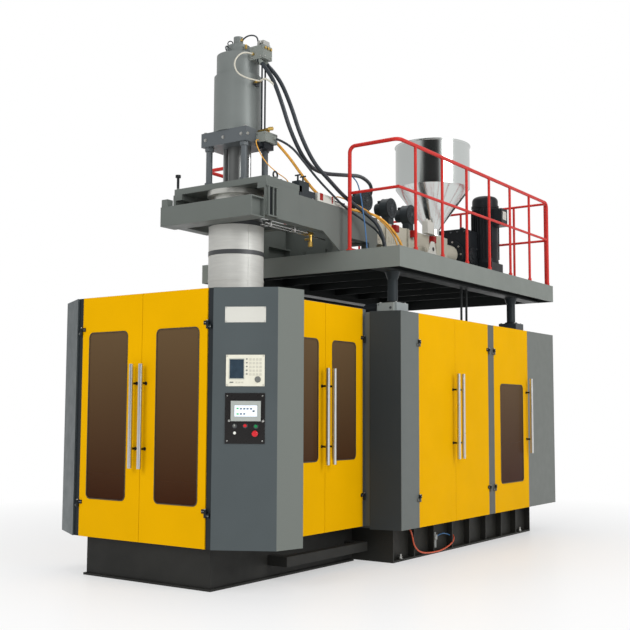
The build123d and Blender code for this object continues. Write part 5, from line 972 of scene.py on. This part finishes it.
block_top = Piece().blocks(
    ((0.505, 0.27, ARM_TOP), (0.6, 0.44, 3.88)),
    ((0.515, 0.44, ARM_TOP), (0.595, 0.56, 3.8)),
)
for y in (0.31, 0.4):
    block_top.rod((0.55, y, 3.88), (0.55, y, 3.945), 0.01)
    block_top.rod((0.515, y, 3.945), (0.585, y, 3.945), 0.008)
block_top.rod((0.505, 0.355, 3.82), (0.48, 0.355, 3.82), 0.024)
block_top.finish("valve_block", dark_paint)
Piece().blocks(
    ((0.52, 0.6, ARM_TOP), (0.598, 0.93, 3.812)),
    ((0.53, 0.93, ARM_TOP), (0.59, 1.2, 3.77)),
).finish("terminal_strip", pale_paint)
Piece().blocks(
    ((0.518, 0.64, 3.74), (0.6015, 0.695, 3.8145)),
    ((0.518, 0.86, 3.74), (0.6015, 0.88, 3.8145)),
).finish("terminal_covers", red_paint)
glands = [((0.56, 0.955 + 0.04 * n, 3.77), (0.56, 0.955 + 0.04 * n, 3.794), 0.012) for n in range(6)]
Piece().rods(*glands, sides=6).finish("cable_glands", seal_rubber, 0)
clamps = Piece()
for y in (0.5, 0.98, 1.42):
    clamps.block((0.52, y, ARM_TOP), (0.6, y + 0.022, ARM_TOP + 0.005))
    clamps.block((0.534, y, ARM_TOP + 0.005), (0.54, y + 0.022, 3.79))
clamps.finish("cable_clamps", zinc, 0.0006)


# Extruder: jacket ribs and louvres, junction boxes, barrel bands, pressure sensor and bracket, blowers
EXTRUDER_X, SCREW_AXIS = 0.35, 3.61
JACKETS = ((1.64, 2.135), (2.165, 2.66), (2.69, 3.403))
JACKET_HALF = 0.135
JACKET_LEFT, JACKET_SIDE = EXTRUDER_X - JACKET_HALF, EXTRUDER_X + JACKET_HALF
JACKET_BOTTOM, JACKET_TOP = SCREW_AXIS - JACKET_HALF, SCREW_AXIS + JACKET_HALF
RIB_WIDTH, RIB_RISE = 0.014, 0.008
RIB_LEFT, RIB_RIGHT = JACKET_LEFT - RIB_RISE, JACKET_SIDE + RIB_RISE
RIB_GAP = 0.05
LOUVRE_STEP, LOUVRE_RISE = 0.05, 0.006
ribs = Piece()
louvres = Piece()
for start, end in JACKETS:
    for y in (start, end - RIB_WIDTH):
        for left, bottom, right, top in (
            (RIB_LEFT, JACKET_BOTTOM - RIB_RISE, RIB_RIGHT, JACKET_BOTTOM),
            (JACKET_SIDE, JACKET_BOTTOM, RIB_RIGHT, JACKET_TOP),
            (RIB_LEFT, JACKET_BOTTOM, JACKET_LEFT, JACKET_TOP),
            (RIB_LEFT, JACKET_TOP, EXTRUDER_X - RIB_GAP, JACKET_TOP + RIB_RISE),
            (EXTRUDER_X + RIB_GAP, JACKET_TOP, RIB_RIGHT, JACKET_TOP + RIB_RISE),
        ):
            ribs.block((left, y, bottom), (right, y + RIB_WIDTH, top))
    for n in range(int((end - start - 0.12) / LOUVRE_STEP)):
        y = start + 0.07 + LOUVRE_STEP * n
        for x in (JACKET_LEFT - LOUVRE_RISE, JACKET_SIDE):
            louvres.block((x, y, SCREW_AXIS - 0.085), (x + LOUVRE_RISE, y + 0.026, SCREW_AXIS - 0.02))
ribs.finish("jacket_ribs", jacket_sheet)
louvres.finish("jacket_louvres", jacket_sheet, 0.002)
LID_X = JACKET_SIDE + 0.055
GLAND_X = JACKET_SIDE + 0.028
boxes = Piece()
box_glands = Piece()
for y in (1.76, 2.3, 2.74, 3.23):
    boxes.block((JACKET_SIDE, y, 3.655), (LID_X, y + 0.09, 3.74))
    boxes.block((LID_X, y + 0.008, 3.663), (LID_X + 0.005, y + 0.082, 3.732))
    for gland_y in (y + 0.025, y + 0.065):
        box_glands.rod((GLAND_X, gland_y, 3.655), (GLAND_X, gland_y, 3.63), 0.009, 8)
boxes.finish("heater_boxes", red_paint, 0.003)
box_glands.finish("heater_glands", zinc, 0)
BAND = [(0.095, 0), (0.106, 0), (0.108, 0.004), (0.108, 0.146), (0.106, 0.15), (0.095, 0.15)]
bands = Piece()
for y in (0.52, 0.76, 1, 1.24, 1.48):
    bands.lathe((EXTRUDER_X, y, SCREW_AXIS), BACKWARD, BAND, 40)
    bands.block((EXTRUDER_X + 0.098, y + 0.03, SCREW_AXIS - 0.02),
                (EXTRUDER_X + 0.125, y + 0.12, SCREW_AXIS + 0.02))
bands.finish("barrel_bands", cover_steel, 0.001)
sensor = Piece().blocks(((0.49, 3.04, 3.746), (0.57, 3.2, 3.9)))
sensor.rods(*(((0.53, y, 3.9), (0.53, y, 3.93), 0.022) for y in (3.08, 3.16)))
sensor.finish("pressure_sensor", pale_paint, 0.004)
BRACKET_FACE = face_frame((0.625, 2.92, DECK), BACKWARD)
gusset = Piece(BRACKET_FACE)
gusset.prism([(0.0, 0.0), (0.225, 0.0), (0.225, 0.2), (0.16, 0.385), (0.095, 0.385), (0.0, 0.23)], SHEET)
gusset.lathe((0.128, 0.29, SHEET), OUT,
             [(0.04, 0), (0.04, 0.003), (0.028, 0.003), (0.026, 0.001), (0, 0.001)], 28)
gusset.finish("side_bracket", pale_paint)
plug = Piece(BRACKET_FACE)
plug.lathe((0.128, 0.29, SHEET + 0.0015), OUT, [(0.026, 0), (0.024, 0.002), (0, 0.002)])
plug.finish("bracket_plug", seal_rubber, 0)

BLOWER_PLACES = (1.885, 2.445, 2.93)
BLOWER_AXIS = 3.975
BLOWER_FACE = EXTRUDER_X + 0.055
guards = Piece()
scrolls = Piece()
for y in BLOWER_PLACES:
    for radius in (0.03, 0.05, 0.07, 0.088):
        guards.ring((BLOWER_FACE + 0.004, y, BLOWER_AXIS), RIGHT, radius, 0.002, 36, 6)
    guards.spokes(Vector((BLOWER_FACE + 0.003, y, BLOWER_AXIS)), BACKWARD, UP, 8, 0.092, 0.002)
    for side in (-1, 1):
        scrolls.ring((EXTRUDER_X + side * 0.051, y, BLOWER_AXIS), RIGHT, 0.118, 0.006, 44, 8)
    scrolls.block((EXTRUDER_X - 0.053, y - 0.07, JACKET_TOP),
                  (EXTRUDER_X + 0.053, y + 0.07, JACKET_TOP + 0.014))
    for a, b in circle(10, 0.076):
        place = Vector((EXTRUDER_X - 0.07, y + a, BLOWER_AXIS + b))
        scrolls.rod(place, place - RIGHT * 0.078, 0.004, 6)
    scrolls.block((EXTRUDER_X - 0.13, y - 0.03, BLOWER_AXIS + 0.07),
                  (EXTRUDER_X - 0.08, y + 0.03, BLOWER_AXIS + 0.105))
guards.finish("blower_guards", dark_steel, 0)
scrolls.finish("blower_trim", black_paint, 0.001)

# Hopper: flange bolts
flange = [(HOPPER_AT[0] + x, HOPPER_AT[1] + y, 3.796) for x, y in circle(8, 0.107, 0.2)]
Piece().bolts(flange, UP, 0.01).finish("hopper_bolts", zinc, 0)

# Motor and gearbox: fins except beside the terminal box, fan grille, plate, side cover and bolts
MOTOR = Vector((0.61, 4.603, 0))
FIN_PLACES = 30
FIRST_FIN, LAST_FIN = 3, 27
fins = Piece()
for n in range(FIRST_FIN, LAST_FIN + 1):
    turn = Matrix.Translation(MOTOR) @ Matrix.Rotation(2 * math.pi * n / FIN_PLACES, 4, "Z")
    fins.block((0.17, -0.0035, 3.6), (0.192, 0.0035, 4.27), turn)
fins.finish("motor_fins", black_paint, 0)
FAN_MIDDLE = MOTOR + UP * 4.461
fan = Piece()
for radius in (0.04, 0.065, 0.09):
    fan.ring(FAN_MIDDLE, UP, radius, 0.003, 32, 6)
fan.spokes(FAN_MIDDLE, RIGHT, BACKWARD, 6, 0.095, 0.003)
fan.finish("motor_grille", dark_steel, 0)
motor_plate = Piece().blocks(((0.895, 4.545, 4.12), (0.8965, 4.66, 4.235)))
motor_plate.finish("motor_plate", pale_paint, 0.0005)
GEARBOX_SIDE, GEARBOX_Y = 0.58, 4.253
gear_trim = Piece()
for y, axis in ((4.082, FORWARD), (4.424, BACKWARD)):
    gear_trim.bolts(grid((0.15, 0.25, 0.35, 0.45, 0.55), y, 3.925), axis, 0.012)
gear_trim.bolts(grid(GEARBOX_SIDE, (4.115, 4.391), (3.36, 3.5, 3.72, 3.88)), RIGHT, 0.012)
gear_trim.finish("gearbox_bolts", dark_steel, 0.0005)
gear_cover = Piece()
gear_cover.lathe((GEARBOX_SIDE, GEARBOX_Y, SCREW_AXIS), RIGHT,
                 [(0.12, 0), (0.12, 0.014), (0.112, 0.018), (0.05, 0.018), (0.046, 0.028), (0, 0.028)], 40)
gear_cover.bolts([(0.598, GEARBOX_Y + a, SCREW_AXIS + b) for a, b in circle(8, 0.096)], RIGHT, 0.009)
gear_cover.rod((0.43, GEARBOX_Y, 3.96), (0.43, GEARBOX_Y, 4.01), 0.028)
gear_cover.finish("gearbox_cover", black_paint, 0.0008)
disc = [(EXTRUDER_X + a, 4.023, SCREW_AXIS + b) for a, b in circle(10, 0.178)]
Piece().bolts(disc, FORWARD, 0.012).finish("disc_bolts", zinc, 0)

# Guard rail feet with their bolts
RAIL_X, RAIL_FRONT, RAIL_BACK, BACK_RAIL_Y = 1.319, 1.033, 5.038, 5.084
POST_START, POST_STEP = 0.358, 0.60783
SIDE_FOOT, FRONT_FOOT = 0.024, 0.04
feet = Piece()
foot_bolts = Piece()
for side in (-1, 1):
    side_places = [RAIL_BACK] + [RAIL_FRONT + POST_START + POST_STEP * n for n in range(6)]
    rail_posts = [(side * RAIL_X, y, SIDE_FOOT) for y in side_places]
    for x, y, radius in [(side * 0.715, RAIL_FRONT, FRONT_FOOT)] + rail_posts:
        feet.lathe((x, y, DECK), UP,
                   [(radius, 0), (radius, 0.01), (0.0235, 0.01), (0.0235, 0.03), (0.0165, 0.032)])
for x in (-1.273, -0.82, 0, 0.82, 1.273):
    feet.lathe((x, BACK_RAIL_Y, DECK), UP, [(0.036, 0), (0.036, 0.01), (0.02, 0.01), (0.0165, 0.026)])
    foot_bolts.bolts(grid((x - 0.027, x + 0.027), BACK_RAIL_Y, DECK + 0.01), UP, 0.006)
feet.finish("rail_feet", rail_paint, 0)
foot_bolts.finish("rail_foot_bolts", zinc, 0)

# Cover strip between the enclosure and the cabinet, and the screws of the cabinet's back sheets
strip = Piece().blocks(((0.848, 0.987, 0.37), (1.024, 0.99, 2.568)))
strip.finish("joint_strip", strip_paint, 0, "base")
back_screws = Piece()
for x, n in product((-1.31, -0.68, -0.64, 0.0, 0.64, 0.68, 1.31), range(7)):
    back_screws.lathe((x, 5.106, 0.39 + 0.355 * n), BACKWARD,
                      [(0.009, 0), (0.008, 0.003), (0.004, 0.005), (0, 0.005)], 14)
back_screws.finish("back_screws", zinc, 0, "base")

# Lift: sleeve head bolts and wipers, the motor beside the front sleeve and its pale valve block
COLUMN_PLACES = tuple(product((-1.05, 1.05), (1.363, 4.423)))
SLEEVE_TOP, SLEEVE_BOLT = 2.687, 0.095
sleeve_bolts = Piece()
wipers = Piece()
for x, y in COLUMN_PLACES:
    corners = grid((x - SLEEVE_BOLT, x + SLEEVE_BOLT), (y - SLEEVE_BOLT, y + SLEEVE_BOLT), SLEEVE_TOP)
    sleeve_bolts.screws(corners, UP, 0.011)
    wipers.lathe((x, y, SLEEVE_TOP), UP,
                 [(0.082, 0), (0.082, 0.012), (0.074, 0.02), (0.0562, 0.02), (0.0562, 0)], 36)
sleeve_bolts.finish("sleeve_bolts", zinc, 0, "base")
wipers.finish("sleeve_wipers", seal_rubber, 0, "base")
Piece().rods(
    ((0.925, 1.28, 2.632), (0.77, 1.28, 2.632), 0.058),
    ((0.77, 1.28, 2.632), (0.752, 1.28, 2.632), 0.044),
    sides=32,
).finish("lift_motor", black_paint, body="base")
BLOCK_FRONT = 1.205
pale_block = Piece().blocks(((0.95, BLOCK_FRONT, 2.572), (1.15, 1.243, 2.682)))
pale_block.finish("lift_valve_block", block_grey, body="base")
block_hole = Piece().screws(grid(0.97, BLOCK_FRONT, (2.59, 2.664)), FORWARD, 0.007)
block_hole.lathe((1.115, BLOCK_FRONT, 2.627), FORWARD, [(0.015, 0), (0.013, 0.002), (0, 0.002)], 20)
block_hole.finish("lift_block_screws", dark_steel, 0, "base")

# Bases: anchor bolts, and the air regulator beside the rear base
FOOT_PLATE_TOP = 0.02
anchors = Piece()
for x, y in (*product((-0.666, 0.666), (-1.149, 0.929)), *product((-1.164, 1.164), (1.312, 4.348))):
    anchors.lathe((x, y, FOOT_PLATE_TOP), UP, [(0.026, 0), (0.026, 0.004)])
    anchors.hex_bolt((x, y, 0.024), UP, 0.02, 0.018)
    anchors.rod((x, y, 0.042), (x, y, 0.068), 0.012)
anchors.finish("anchor_bolts", zinc, 0, "base")
regulator = Piece().blocks(((1.132, 1.975, 0.135), (1.172, 2.11, 0.19)))
for y in (2.01, 2.075):
    regulator.rod((1.152, y, 0.135), (1.152, y, 0.05), 0.022)
    regulator.rod((1.152, y, 0.19), (1.152, y, 0.218), 0.018)
regulator.rod((1.172, 2.042, 0.162), (1.192, 2.042, 0.162), 0.022)
regulator.finish("air_regulator", regulator_grey, 0.002, "base")


# Stage: a pale floor that fades into a white surround, and soft light
FLOOR_REACH = 60.0
FADE = (2.5, 7.5)
FLOOR_GLOW = 0.45
floor_mesh = bmesh.new()
bmesh.ops.create_grid(floor_mesh, x_segments=2, y_segments=2, size=FLOOR_REACH)
floor_data = bpy.data.meshes.new("floor")
floor_mesh.to_mesh(floor_data)
floor_mesh.free()
floor = bpy.data.objects.new("floor", floor_data)
floor.location = (0, 2, 0)
bpy.context.scene.collection.objects.link(floor)
ground = Finish("ground", (0.93, 0.93, 0.93, 1), 0.35)
ground.set(Specular_IOR_Level=0.25)
glow = ground.node("Emission", Color=(1, 1, 1, 1), Strength=1.0)
fade = ground.spread(ground.vector("LENGTH", ground.place), FLOOR_GLOW, 1, *FADE)
faded = ground.mixed(fade, ground.shader.outputs["BSDF"], glow.outputs["Emission"])
ground.link(faded, ground.tree.nodes["Material Output"].inputs["Surface"])
floor_data.materials.append(ground.material)

world = bpy.data.worlds.new("studio")
bpy.context.scene.world = world
world.use_nodes = True
sky = Nodes(world.node_tree)
ambient = sky.tree.nodes["Background"]
ambient.inputs["Color"].default_value = (0.97, 0.985, 1, 1)
ambient.inputs["Strength"].default_value = 0.46
white = sky.node("Background", Color=(1, 1, 1, 1), Strength=1.0)
path = sky.node("LightPath").outputs
seen = sky.number("MAXIMUM", path["Is Camera Ray"], path["Is Transmission Ray"])

# Metal sees a white studio with a dark opening, brighter to one side of it
DARK_HEADING = 24.0
DARK_SPAN = (0.8, 0.9)
DARK_LEVEL = 0.03
SIDE_SPREAD = (-0.7, 0.7)
SIDE_LEVELS = (0.8, 1.05)
heading = math.radians(DARK_HEADING)
direction = sky.node("TexCoord").outputs["Generated"]
toward = sky.vector("DOT_PRODUCT", direction, (math.sin(heading), -math.cos(heading), 0))
across = sky.vector("DOT_PRODUCT", direction, (math.cos(heading), math.sin(heading), 0))
opening = sky.spread(toward, 1.0, DARK_LEVEL, *DARK_SPAN)
mirrored = sky.node("Background")
sky.link(sky.number("MULTIPLY", opening, sky.spread(across, *SIDE_LEVELS, *SIDE_SPREAD)),
         mirrored.inputs["Strength"])
glossy = sky.mixed(path["Is Glossy Ray"], ambient.outputs["Background"], mirrored.outputs["Background"])
shown = sky.mixed(seen, glossy, white.outputs["Background"])
sky.link(shown, sky.tree.nodes["World Output"].inputs["Surface"])


def lamp(name, place, target, size, power, mirrored_too=True):
    """A soft square lamp."""
    data = bpy.data.lights.new(name, "AREA")
    data.size = size
    data.energy = power
    holder = bpy.data.objects.new(name, data)
    holder.location = place
    holder.rotation_euler = (Vector(target) - Vector(place)).to_track_quat("-Z", "Y").to_euler()
    holder.visible_glossy = mirrored_too
    bpy.context.scene.collection.objects.link(holder)


lamp("right_lamp", (13.0, 0.0, 8.0), (0.5, 1.5, 2.5), 7.0, 830)
lamp("front_lamp", (2.0, -13.0, 7.0), (0.0, 0.0, 2.0), 6.0, 650, False)
lamp("top_lamp", (-2.0, 2.0, 14.0), (0.0, 2.0, 2.0), 8.0, 520)

bpy.context.scene.view_settings.view_transform = "Standard"
